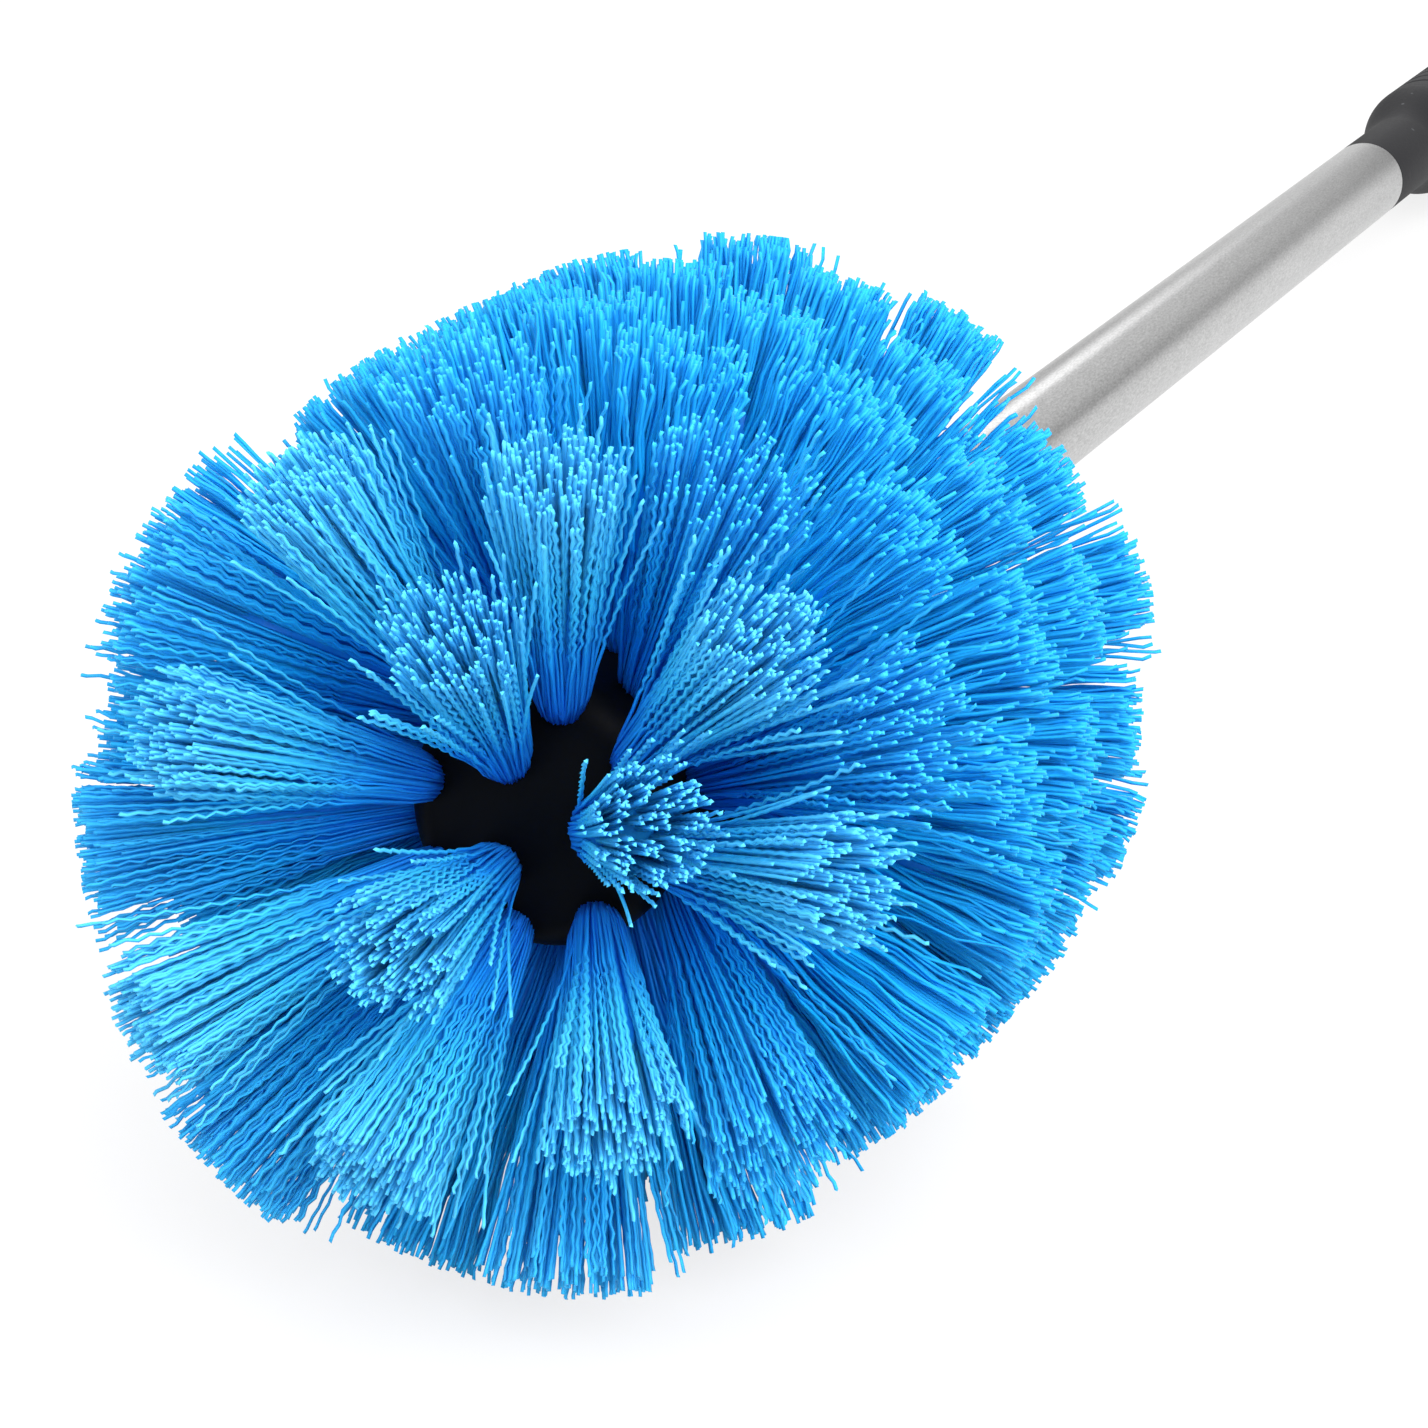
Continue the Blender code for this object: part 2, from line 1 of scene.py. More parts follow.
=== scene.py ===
"""Round tufted brush: the filaments of its head, its finishes, and the studio that it lies in.

The brush has one straight axis. A place on it is given by s, the distance in metres from the edge of
the nose towards the grip, and by an angle round the axis, measured from the side that faces the
ground towards +Y. All lengths are in metres.
"""

from __future__ import annotations

import json
import logging
import math
from collections.abc import Iterator
from dataclasses import dataclass, field
from enum import Enum

import bpy
import numpy as np
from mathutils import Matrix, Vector


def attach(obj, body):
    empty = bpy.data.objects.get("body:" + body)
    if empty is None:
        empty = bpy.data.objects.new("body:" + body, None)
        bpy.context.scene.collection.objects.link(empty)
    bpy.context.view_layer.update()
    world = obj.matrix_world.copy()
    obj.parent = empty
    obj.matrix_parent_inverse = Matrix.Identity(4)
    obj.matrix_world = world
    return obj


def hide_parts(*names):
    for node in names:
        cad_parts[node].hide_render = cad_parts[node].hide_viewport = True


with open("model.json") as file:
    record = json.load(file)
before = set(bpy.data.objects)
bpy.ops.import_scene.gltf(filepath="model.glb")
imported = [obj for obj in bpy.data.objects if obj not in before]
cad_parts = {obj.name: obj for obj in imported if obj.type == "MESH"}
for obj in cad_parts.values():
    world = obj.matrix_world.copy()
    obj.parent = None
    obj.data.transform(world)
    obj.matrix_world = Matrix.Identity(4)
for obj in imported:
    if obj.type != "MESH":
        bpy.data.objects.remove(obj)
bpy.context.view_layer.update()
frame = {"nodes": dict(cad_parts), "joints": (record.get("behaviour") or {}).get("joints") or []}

LOG = logging.getLogger("tufted_brush")
FILAMENT_UV = "filament"
Color = tuple[float, float, float]
WHITE: Color = (1.0, 1.0, 1.0)
GOLDEN_ANGLE = math.pi * (3.0 - math.sqrt(5.0))


class Slot(Enum):
    """Material slots of the record."""

    BRISTLE = "bristle_blue"
    CORE = "core_black"
    STEEL = "plated_steel"
    ALUMINIUM = "satin_aluminium"
    GRIP = "grip_black"


class Body(Enum):
    """Rigid bodies that the pieces ride on."""

    HANDLE = "handle"
    WASHER = "washer"
    HEAD = "head"


class Weave(Enum):
    """How closely a filament's waves are drawn."""

    CRIMPED = "crimped"
    COMBED = "combed"


# Place of the brush in the frame

class Axis:
    """The brush's axis, read from the joint between handle and head."""

    JOINT = "head_unscrew"
    JOINT_PLACE = 0.0954

    def __init__(self) -> None:
        """Find the axis line and the directions square to it."""
        joint = next(j for j in frame["joints"] if j["name"] == self.JOINT)
        self.back = -np.array(joint["axis"], float)
        self.back /= np.linalg.norm(self.back)
        self.side = np.array([0.0, 1.0, 0.0])
        self.down = np.cross(self.side, self.back)
        self.origin = np.array(joint["pos_m"], float) - self.back * self.JOINT_PLACE

    def point(self, s: float) -> np.ndarray:
        """Point on the axis at the distance s from the edge of the nose towards the grip."""
        return self.origin + self.back * s

    def radial(self, angle: np.ndarray | float) -> np.ndarray:
        """Unit vectors square to the axis: down times cos(angle) plus side times sin(angle)."""
        angle = np.asarray(angle, float)[..., None]
        return np.cos(angle) * self.down + np.sin(angle) * self.side

    def turned_places(self, count: int) -> np.ndarray:
        """Unit vectors square to the axis, in equal steps round a full turn."""
        return self.radial(np.arange(count) * 2.0 * math.pi / count)


AXIS = Axis()


# Meshes

@dataclass
class Grid:
    """Vertices and faces of one closed surface, worked out as whole arrays."""

    points: np.ndarray
    quads: np.ndarray
    triangles: np.ndarray

    def volume(self) -> float:
        """Signed volume, a sixth of the sum of the triple products of all triangles.

        Returns:
            The volume, below zero where the faces point inwards.
        """
        halves = np.concatenate([self.quads[:, [0, 1, 2]], self.quads[:, [0, 2, 3]], self.triangles])
        a, b, c = (self.points[halves[:, k]] for k in range(3))
        return float(np.einsum("ij,ij->", a, np.cross(b, c)) / 6.0)

    def facing_out(self) -> Grid:
        """Turn the surface over if its faces point inwards.

        Returns:
            The surface with its faces outwards.
        """
        if self.volume() < 0.0:
            return Grid(self.points, self.quads[:, ::-1], self.triangles[:, ::-1])
        return self


def mesh_from_grid(name: str, grid: Grid, smooth_triangles: bool = True) -> bpy.types.Mesh:
    """Put a grid into a new mesh, with its quads shaded smooth.

    Args:
        name: Name of the mesh.
        grid: Its points and faces.
        smooth_triangles: Whether its triangles are shaded smooth too.

    Returns:
        The mesh.
    """
    loops = np.concatenate([grid.quads.ravel(), grid.triangles.ravel()]).astype(np.int32)
    sizes = np.concatenate([np.full(len(grid.quads), 4), np.full(len(grid.triangles), 3)])
    starts = np.concatenate([[0], np.cumsum(sizes)[:-1]]).astype(np.int32)
    mesh = bpy.data.meshes.new(name)
    mesh.vertices.add(len(grid.points))
    mesh.vertices.foreach_set("co", grid.points.astype(np.float32).ravel())
    mesh.loops.add(len(loops))
    mesh.loops.foreach_set("vertex_index", loops)
    mesh.polygons.add(len(sizes))
    mesh.polygons.foreach_set("loop_start", starts)
    mesh.polygons.foreach_set("use_smooth", (sizes == 4) | smooth_triangles)
    mesh.update(calc_edges=True)
    mesh.validate()
    return mesh


def place_piece(mesh: bpy.types.Mesh, material: bpy.types.Material, body: Body,
                replaced: list[str]) -> None:
    """Make an object of a finished mesh, put it on its body and hide the solids that it stands for.

    Args:
        mesh: The mesh, already in the row frame.
        material: Its finish.
        body: The body that it rides on.
        replaced: The solids that it stands for.
    """
    piece = bpy.data.objects.new(mesh.name, mesh)
    bpy.context.scene.collection.objects.link(piece)
    piece.data.materials.append(material)
    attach(piece, body.value)
    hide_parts(*replaced)
    LOG.info("%s: %d faces on %s", piece.name, len(mesh.polygons), body.value)


def rounded(corners: list[tuple[float, float, float]], steps: int = 4) -> np.ndarray:
    """Profile with its corners rounded.

    Each corner C becomes the curve (1-t)^2 A + 2t(1-t) C + t^2 B, where A and B lie at the corner's
    own rounding distance along the two sides that meet there.

    Args:
        corners: Radius, place on the axis and rounding of each corner, in order.
        steps: Spans in each rounding.

    Returns:
        Radius and place of each point, one row each.
    """
    flat = np.array([c[:2] for c in corners])
    t = np.linspace(0.0, 1.0, steps + 1)[:, None]
    points = [flat[:1]]
    for before, corner, after, (_, _, size) in zip(flat, flat[1:], flat[2:], corners[1:-1]):
        to_before = (before - corner) / np.linalg.norm(before - corner)
        to_after = (after - corner) / np.linalg.norm(after - corner)
        start, end = corner + to_before * size, corner + to_after * size
        curve = (1 - t) ** 2 * start + 2 * t * (1 - t) * corner + t ** 2 * end
        points.append(curve if size > 0.0 else corner[None])
    points.append(flat[-1:])
    return np.concatenate(points)


def turned(profile: np.ndarray, steps: int = 128) -> Grid:
    """Surface turned about the brush's axis.

    A point is the axis point at s plus its radius times the radial direction of the angle u, with u
    in equal steps round a full turn. A profile that starts and ends on the axis is closed by a pole
    at each end, and any other profile is closed on itself.

    Args:
        profile: Radius and place of each point of the profile.
        steps: Steps round the axis.

    Returns:
        The closed surface.
    """
    poles = profile[0, 0] == 0.0
    rings = profile[1:-1] if poles else profile
    directions = AXIS.turned_places(steps)
    centers = AXIS.origin + rings[:, 1, None] * AXIS.back
    points = centers[:, None] + rings[:, 0, None, None] * directions[None]
    count = len(rings)
    row = np.arange(count if not poles else count - 1)[:, None]
    col = np.arange(steps)[None]
    nxt = (row + 1) % count
    right = (col + 1) % steps
    quads = np.stack([row * steps + col, row * steps + right, nxt * steps + right, nxt * steps + col], -1)
    points = points.reshape(-1, 3)
    triangles = np.zeros((0, 3), int)
    if poles:
        first, last = len(points), len(points) + 1
        ends = np.stack([AXIS.point(profile[0, 1]), AXIS.point(profile[-1, 1])])
        points = np.concatenate([points, ends])
        ring = np.arange(steps)
        after = (ring + 1) % steps
        base = (count - 1) * steps
        triangles = np.concatenate([
            np.stack([np.full(steps, first), after, ring], -1),
            np.stack([np.full(steps, last), base + ring, base + after], -1)])
    return Grid(points, quads.reshape(-1, 4), triangles).facing_out()


# Finishes

class NodeSheet:
    """Adds and links the nodes of one tree.

    A Mix node holds sockets for every kind of value. MIX_INPUTS are the places of its factor and its two
    colours among its inputs, and MIX_OUTPUT is the place of the blended colour among its outputs.
    """

    MIX_INPUTS = (0, 6, 7)
    MIX_OUTPUT = 2

    def __init__(self, tree: bpy.types.NodeTree) -> None:
        """Take the tree to work on."""
        self.tree = tree

    def add(self, kind: str, values: dict[str, object] | None = None, **settings: object) -> bpy.types.Node:
        """Add a node.

        Args:
            kind: Node type.
            values: Input sockets by name, each with a value or with an output socket to link.
            settings: Properties of the node itself.

        Returns:
            The node.
        """
        node = self.tree.nodes.new(kind)
        for name, value in settings.items():
            setattr(node, name, value)
        for name, value in (values or {}).items():
            self.feed(node.inputs[name], value)
        return node

    def feed(self, socket: bpy.types.NodeSocket, value: object) -> None:
        """Link an output socket to an input socket, or give the input a value.

        Args:
            socket: The input socket.
            value: An output socket, a number, a vector or a colour.
        """
        if isinstance(value, bpy.types.NodeSocket):
            self.tree.links.new(value, socket)
        elif isinstance(value, tuple) and socket.type == 'RGBA':
            socket.default_value = (*value, 1.0)
        else:
            socket.default_value = value

    def math(self, operation: str, *values: object) -> bpy.types.NodeSocket:
        """Add one sum.

        Args:
            operation: Kind of sum.
            values: The two or three numbers or sockets that it works on.

        Returns:
            The socket of its result.
        """
        node = self.tree.nodes.new("ShaderNodeMath")
        node.operation = operation
        for socket, value in zip(node.inputs, values):
            self.feed(socket, value)
        return node.outputs[0]

    def mix(self, factor: object, first: object, second: object) -> bpy.types.NodeSocket:
        """Blend two colours.

        Args:
            factor: Share of the second colour, as a socket.
            first: A colour or the socket of one.
            second: A colour or the socket of one.

        Returns:
            The socket of the blend.
        """
        node = self.tree.nodes.new("ShaderNodeMix")
        node.data_type = 'RGBA'
        for number, value in zip(self.MIX_INPUTS, (factor, first, second)):
            self.feed(node.inputs[number], value)
        return node.outputs[self.MIX_OUTPUT]

    def blend(self, factor: bpy.types.NodeSocket, first: bpy.types.NodeSocket,
              second: bpy.types.NodeSocket) -> bpy.types.NodeSocket:
        """Blend two shaders.

        Args:
            factor: Share of the second shader.
            first: Socket of a shader.
            second: Socket of a shader.

        Returns:
            The socket of the blend.
        """
        node = self.tree.nodes.new("ShaderNodeMixShader")
        for socket, value in zip(node.inputs, (factor, first, second)):
            self.feed(socket, value)
        return node.outputs[0]

    def ramp(self, factor: bpy.types.NodeSocket, stops: list[tuple[float, Color]]) -> bpy.types.NodeSocket:
        """Add a colour ramp.

        Args:
            factor: Socket that says where along the ramp the colour is taken.
            stops: Places along the ramp, each with its colour.

        Returns:
            The socket of the colour.
        """
        node = self.tree.nodes.new("ShaderNodeValToRGB")
        elements = node.color_ramp.elements
        while len(elements) < len(stops):
            elements.new(0.5)
        for element, (place, color) in zip(elements, stops):
            element.position = place
            element.color = (*color, 1.0)
        self.feed(node.inputs[0], factor)
        return node.outputs[0]


def shared_group(name: str, inputs: dict[str, float], outputs: list[str]) -> bpy.types.NodeTree:
    """New shader node group of plain numbers.

    Args:
        name: Name of the group.
        inputs: Input sockets and their usual values.
        outputs: Output sockets.

    Returns:
        The group's tree.
    """
    tree = bpy.data.node_groups.new(name, "ShaderNodeTree")
    tree.interface.new_socket("Place", in_out='INPUT', socket_type='NodeSocketVector')
    for label, value in inputs.items():
        socket = tree.interface.new_socket(label, in_out='INPUT', socket_type='NodeSocketFloat')
        socket.default_value = value
    for label in outputs:
        tree.interface.new_socket(label, in_out='OUTPUT', socket_type='NodeSocketFloat')
    return tree


FINE_STEP = 3.1
COARSE_SHARE = 0.6
SPECK_REACH = 0.28


def build_grain_group() -> bpy.types.NodeTree:
    """Fine grain: a coarse layer of noise and one finer by FINE_STEP, added up by their shares.

    Returns:
        The group, with the inputs Place, Scale and Contrast and the outputs Mask and Height.
    """
    tree = shared_group("fine_grain", {"Scale": 900.0, "Contrast": 1.0}, ["Mask", "Height"])
    sheet = NodeSheet(tree)
    entry = sheet.add("NodeGroupInput")
    coarse = sheet.add("ShaderNodeTexNoise", {"Vector": entry.outputs["Place"],
                                              "Scale": entry.outputs["Scale"], "Detail": 3.0})
    finer = sheet.math('MULTIPLY', entry.outputs["Scale"], FINE_STEP)
    fine = sheet.add("ShaderNodeTexNoise", {"Vector": entry.outputs["Place"], "Scale": finer, "Detail": 2.0})
    fine_part = sheet.math('MULTIPLY', fine.outputs[0], 1.0 - COARSE_SHARE)
    both = sheet.math('MULTIPLY_ADD', coarse.outputs[0], COARSE_SHARE, fine_part)
    centred = sheet.math('MULTIPLY', sheet.math('SUBTRACT', both, 0.5), entry.outputs["Contrast"])
    mask = sheet.math('ADD', centred, 0.5)
    mask.node.use_clamp = True
    sheet.add("NodeGroupOutput", {"Mask": mask, "Height": both})
    return tree


def build_speck_group() -> bpy.types.NodeTree:
    """Sparse specks: one near the middle of those cells whose own number lies below the share.

    Returns:
        The group, with the inputs Place, Scale and Share and the output Mask.
    """
    tree = shared_group("sparse_specks", {"Scale": 700.0, "Share": 0.1}, ["Mask"])
    sheet = NodeSheet(tree)
    entry = sheet.add("NodeGroupInput")
    cells = sheet.add("ShaderNodeTexVoronoi", {"Vector": entry.outputs["Place"],
                                               "Scale": entry.outputs["Scale"]})
    near = sheet.math('LESS_THAN', cells.outputs["Distance"], SPECK_REACH)
    number = sheet.add("ShaderNodeSeparateColor", {"Color": cells.outputs["Color"]})
    chosen = sheet.math('LESS_THAN', number.outputs[0], entry.outputs["Share"])
    sheet.add("NodeGroupOutput", {"Mask": sheet.math('MULTIPLY', near, chosen)})
    return tree


GRAIN = build_grain_group()
SPECKS = build_speck_group()


def blank_material(name: str) -> tuple[bpy.types.Material, NodeSheet, bpy.types.Node]:
    """New material with only its shader and output.

    Args:
        name: Name of the material.

    Returns:
        The material, a sheet on its tree and its Principled BSDF.
    """
    material = bpy.data.materials.new(name)
    material.use_nodes = True
    tree = material.node_tree
    return material, NodeSheet(tree), tree.nodes["Principled BSDF"]


def place_in_group(sheet: NodeSheet, group: bpy.types.NodeTree, place: bpy.types.NodeSocket,
                   values: dict[str, float]) -> bpy.types.Node:
    """Add one use of a shared group, with the socket of the place that it reads and its other inputs."""
    return sheet.add("ShaderNodeGroup", {"Place": place, **values}, node_tree=group)


def axis_coordinates(sheet: NodeSheet, stretch: float = 1.0) -> bpy.types.NodeSocket:
    """Object coordinates turned so that X runs along the brush, and drawn out along it.

    Args:
        sheet: Sheet of the material.
        stretch: How many times longer the pattern is along the brush than across it.

    Returns:
        The socket of the place.
    """
    coords = sheet.add("ShaderNodeTexCoord")
    tilt = math.asin(-AXIS.back[2])
    level = sheet.add("ShaderNodeMapping", {"Vector": coords.outputs["Object"],
                                            "Rotation": (0.0, -tilt, 0.0)})
    drawn = sheet.add("ShaderNodeMapping", {"Vector": level.outputs[0], "Scale": (1.0 / stretch, 1.0, 1.0)})
    return drawn.outputs[0]


def vary_surface(sheet: NodeSheet, shader: bpy.types.Node, mask: bpy.types.NodeSocket,
                 roughness: float, swing: float) -> None:
    """Let a shader's roughness rise and fall by half the swing, with a mask from zero to one."""
    rough = sheet.math('MULTIPLY_ADD', mask, swing, roughness - swing / 2)
    sheet.feed(shader.inputs["Roughness"], rough)


def add_relief(sheet: NodeSheet, shader: bpy.types.Node, height: bpy.types.NodeSocket,
               strength: float, distance: float) -> None:
    """Give a shader a fine relief, in which a height of one stands for the given distance."""
    bump = sheet.add("ShaderNodeBump", {"Height": height, "Strength": strength, "Distance": distance})
    sheet.feed(shader.inputs["Normal"], bump.outputs[0])


@dataclass(frozen=True)
class FilamentFinish:
    """Plastic filament, darker towards its root than at its cut end: partly its own colour, partly painted
    shade of the inside of the bundle.

    Attributes:
        name: Name of the material.
        root: Colour where the filament leaves its hole, partly darkened as painted shade.
        middle: Colour at the share middle_place of its length.
        upper: Colour at the share upper_place.
        tip: Colour from the share tip_place to the cut end.
        middle_place: Share of length, as above.
        upper_place: Share of length, as above.
        tip_place: Share of length, as above.
        spread: How much one filament is lighter than another.
        roughness: Roughness of its surface.
        gloss: Strength of its gloss.
    """

    name: str
    root: Color
    middle: Color
    upper: Color
    tip: Color
    middle_place: float = 0.30
    upper_place: float = 0.60
    tip_place: float = 0.985
    spread: float = 0.11
    roughness: float = 0.42
    gloss: float = 0.14

    def build(self) -> bpy.types.Material:
        """Make the material.

        Returns:
            The material.
        """
        material, sheet, shader = blank_material(self.name)
        uv = sheet.add("ShaderNodeUVMap", uv_map=FILAMENT_UV)
        split = sheet.add("ShaderNodeSeparateXYZ", {"Vector": uv.outputs[0]})
        # Colour along the filament, darker towards the root: partly its own colour, partly painted shade of
        # the inside of the bundle.
        along = sheet.ramp(split.outputs["Y"], [
            (0.0, self.root), (self.middle_place, self.middle), (self.upper_place, self.upper),
            (self.tip_place, self.tip), (1.0, self.tip)])
        shade = sheet.math('MULTIPLY_ADD', split.outputs["X"], self.spread, 1.0 - self.spread / 2)
        varied = sheet.add("ShaderNodeHueSaturation", {"Color": along, "Value": shade})
        sheet.feed(shader.inputs["Base Color"], varied.outputs[0])
        sheet.feed(shader.inputs["Roughness"], self.roughness)
        sheet.feed(shader.inputs["Specular IOR Level"], self.gloss)
        return material


@dataclass(frozen=True)
class MouldedFinish:
    """Matte moulded plastic with a fine spark-eroded grain and a little dust.

    Attributes:
        name: Name of the material.
        color: Colour in the hollows of the grain.
        worn: Colour on its crests.
        roughness: Middle value of the roughness.
        grain_scale: Scale of the grain.
        grain_height: Height of the grain.
        speck_share: Share of the cells that hold a speck of dust.
        gloss: Strength of its gloss.
        grain_contrast: Contrast of the grain.
        speck_scale: Scale of the cells.
        dust: Colour of the specks.
        roughness_swing: How much the roughness changes with the grain.
        bump: Strength of the grain's relief.
    """

    name: str
    color: Color
    worn: Color
    roughness: float
    grain_scale: float
    grain_height: float
    speck_share: float
    gloss: float = 0.18
    grain_contrast: float = 1.6
    speck_scale: float = 620.0
    dust: Color = (0.07, 0.074, 0.08)
    roughness_swing: float = 0.16
    bump: float = 0.5

    def build(self) -> bpy.types.Material:
        """Make the material.

        Returns:
            The material.
        """
        material, sheet, shader = blank_material(self.name)
        sheet.feed(shader.inputs["Specular IOR Level"], self.gloss)
        place = axis_coordinates(sheet)
        grain = place_in_group(sheet, GRAIN, place, {"Scale": self.grain_scale,
                                                     "Contrast": self.grain_contrast})
        specks = place_in_group(sheet, SPECKS, place, {"Scale": self.speck_scale,
                                                       "Share": self.speck_share})
        base = sheet.mix(grain.outputs["Mask"], self.color, self.worn)
        sheet.feed(shader.inputs["Base Color"], sheet.mix(specks.outputs["Mask"], base, self.dust))
        vary_surface(sheet, shader, grain.outputs["Mask"], self.roughness, self.roughness_swing)
        add_relief(sheet, shader, grain.outputs["Height"], self.bump, self.grain_height)
        return material


@dataclass(frozen=True)
class MetalFinish:
    """Metal with a fine grain, drawn out along the brush.

    Attributes:
        name: Name of the material.
        color: Colour on the crests of the grain.
        shaded: Colour in its hollows.
        roughness: Middle value of the roughness.
        grain_scale: Scale of the grain.
        stretch: How many times longer the grain is along the brush than across it.
        grain_height: Height of the grain.
        grain_contrast: Contrast of the grain.
        cloud_scale: Scale of the patches in which the roughness changes.
        cloud_contrast: Contrast of these patches.
        roughness_swing: How much the roughness changes between them.
        bump: Strength of the grain's relief.
    """

    name: str
    color: Color
    shaded: Color
    roughness: float
    grain_scale: float
    stretch: float
    grain_height: float
    grain_contrast: float = 2.6
    cloud_scale: float = 160.0
    cloud_contrast: float = 1.4
    roughness_swing: float = 0.10
    bump: float = 0.35

    def build(self) -> bpy.types.Material:
        """Make the material.

        Returns:
            The material.
        """
        material, sheet, shader = blank_material(self.name)
        drawn = axis_coordinates(sheet, self.stretch)
        even = axis_coordinates(sheet)
        lines = place_in_group(sheet, GRAIN, drawn, {"Scale": self.grain_scale,
                                                     "Contrast": self.grain_contrast})
        cloud = place_in_group(sheet, GRAIN, even, {"Scale": self.cloud_scale,
                                                    "Contrast": self.cloud_contrast})
        sheet.feed(shader.inputs["Base Color"], sheet.mix(lines.outputs["Mask"], self.shaded, self.color))
        sheet.feed(shader.inputs["Metallic"], 1.0)
        vary_surface(sheet, shader, cloud.outputs["Mask"], self.roughness, self.roughness_swing)
        add_relief(sheet, shader, lines.outputs["Height"], self.bump, self.grain_height)
        return material


# Filaments

@dataclass(frozen=True)
class FilamentShape:
    """Sizes of one filament and how finely it is drawn.

    Attributes:
        radius: Radius of the filament.
        wave_pitch: Length of one wave of its crimp.
        wave_height: Height of the wave in a filament that stands free.
        nested_share: Share of that height left to a filament inside the bundle.
        straight_share: Share of its length, from the root, that has no crimp.
        straight_spans: Spans drawn in the straight share.
        spans_per_wave: Spans drawn in each wave.
        bend: Usual size of its bend to one side.
        sides: Sides of its section.
    """

    radius: float
    wave_pitch: float
    wave_height: float
    nested_share: float
    straight_share: float
    straight_spans: int
    spans_per_wave: int
    bend: float
    sides: int = 3


SHAPES = {
    Weave.CRIMPED: FilamentShape(radius=0.00034, wave_pitch=0.0035, wave_height=0.00026,
                                 nested_share=0.25, straight_share=0.34, straight_spans=4,
                                 spans_per_wave=2, bend=0.0010),
    Weave.COMBED: FilamentShape(radius=0.00036, wave_pitch=0.0140, wave_height=0.00045,
                                nested_share=0.40, straight_share=0.24, straight_spans=3,
                                spans_per_wave=4, bend=0.0014)}


@dataclass
class Tuft:
    """One bundle of filaments that leaves one hole of the core.

    Attributes:
        root: Middle of the hole's mouth.
        direction: Direction of the middle filament.
        across: Direction in which the bundle fans out more, square to direction.
        length: Length of the filaments above the mouth.
        fan_across: Half width of the fan at the tips along across.
        fan_along: Half width of the fan at the tips square to across.
        count: Number of filaments.
        mouth: Half width of the bundle where it leaves the hole.
        shoulder: How much it swells just above the hole.
        stray_share: Share of them that stand out of the bundle.
        wisp: Filaments that cling together in one wisp.
        ragged: Usual share by which their lengths differ.
    """

    root: np.ndarray
    direction: np.ndarray
    across: np.ndarray
    length: float
    fan_across: float
    fan_along: float
    count: int
    mouth: float = 0.0032
    shoulder: float = 0.0008
    stray_share: float = 0.09
    wisp: int = 7
    ragged: float = 0.022

    def directions(self) -> tuple[np.ndarray, np.ndarray, np.ndarray]:
        """Unit vectors of the tuft, square to each other.

        Returns:
            The direction of its middle filament, the direction across it and the one square to both.
        """
        along = self.direction / np.linalg.norm(self.direction)
        across = self.across - along * (self.across @ along)
        across /= np.linalg.norm(across)
        return along, across, np.cross(along, across)

    def place(self, x: np.ndarray, y: np.ndarray, z: np.ndarray) -> np.ndarray:
        """Points given by their distances from the hole across, square to across and along the tuft."""
        along, across, other = self.directions()
        return self.root + x[..., None] * across + y[..., None] * other + z[..., None] * along


@dataclass(frozen=True)
class Growth:
    """How the filaments of one tuft differ, and how a tuft widens from its hole.

    Attributes:
        swell_rate: How soon, in shares of length, the bundle swells above its hole.
        fan_power: Power of the share of length with which it fans out.
        place_error: Usual error of a filament's place, as a share of the fan.
        tip_error: Usual error of its tip's place.
        stray_from: Strays start outside this share of the mouth.
        stray_reach: Range of a stray's place, as a share of the fan.
        free_from: Share of the mouth at which filaments begin to stand free.
        free_over: Share of the mouth over which they become free.
        cling: Range of the share by which a tip moves to the leader of its wisp.
        wave_start: Least share of a span by which a wave is moved on.
        wisp_shift: Most that a wisp adds to it.
        own_shift: Most that each station adds to it.
        cut_share: Share of filaments that are cut short.
        cut_most: Most that they lose, as a share of length.
        shortest: Limit of the usual loss of length.
        longest: Limit of the usual gain of length.
        fan_cost: Share of its squared way outwards that a filament loses in height.
        least_reach: Least height, as a share of length.
        plane_error: Usual error of the plane of a wave inside the bundle.
        wisp_error: Usual error of this plane inside a wisp.
        height_range: Range of the factor on the height of a wave.
        onset_place: Share of length at which the wave is at its full height.
        onset_power: Power with which it grows up to there.
        onset_range: Range of the factor on its height at each station.
    """

    swell_rate: float = 30.0
    fan_power: float = 1.25
    place_error: float = 0.07
    tip_error: float = 0.0007
    stray_from: float = 0.6
    stray_reach: tuple[float, float] = (1.2, 1.75)
    free_from: float = 0.55
    free_over: float = 0.40
    cling: tuple[float, float] = (0.05, 0.50)
    wave_start: float = 0.1
    wisp_shift: float = 0.6
    own_shift: float = 0.2
    cut_share: float = 0.14
    cut_most: float = 0.16
    shortest: float = -0.08
    longest: float = 0.025
    fan_cost: float = 0.7
    least_reach: float = 0.6
    plane_error: float = 0.5
    wisp_error: float = 0.2
    height_range: tuple[float, float] = (0.8, 1.15)
    onset_place: float = 0.33
    onset_power: float = 1.5
    onset_range: tuple[float, float] = (0.5, 1.25)

    def fanned(self, t: np.ndarray) -> np.ndarray:
        """Shares of the fan that are reached at the shares of length t: t to the power fan_power."""
        return t ** self.fan_power

    def collar(self, mouth: np.ndarray | float, shoulder: np.ndarray | float, t: np.ndarray) -> np.ndarray:
        """Half width left from the hole: (mouth + shoulder (1 - exp(-swell_rate t))) (1 - t^fan_power)."""
        return (mouth + shoulder * (1.0 - np.exp(-self.swell_rate * t))) * (1.0 - self.fanned(t))


GROWTH = Growth()


def wisp_leaders(x: np.ndarray, y: np.ndarray, count: int, rng: np.random.Generator) -> np.ndarray:
    """Filament that each filament of a tuft keeps close to.

    Args:
        x: Places of the tips in the fan.
        y: Places of the tips square to x.
        count: Number of wisps.
        rng: Source of the choice of leaders.

    Returns:
        Number of the nearest leader for each filament.
    """
    leaders = rng.choice(len(x), count, replace=False)
    apart = np.hypot(x[:, None] - x[leaders], y[:, None] - y[leaders])
    return leaders[np.argmin(apart, axis=1)]


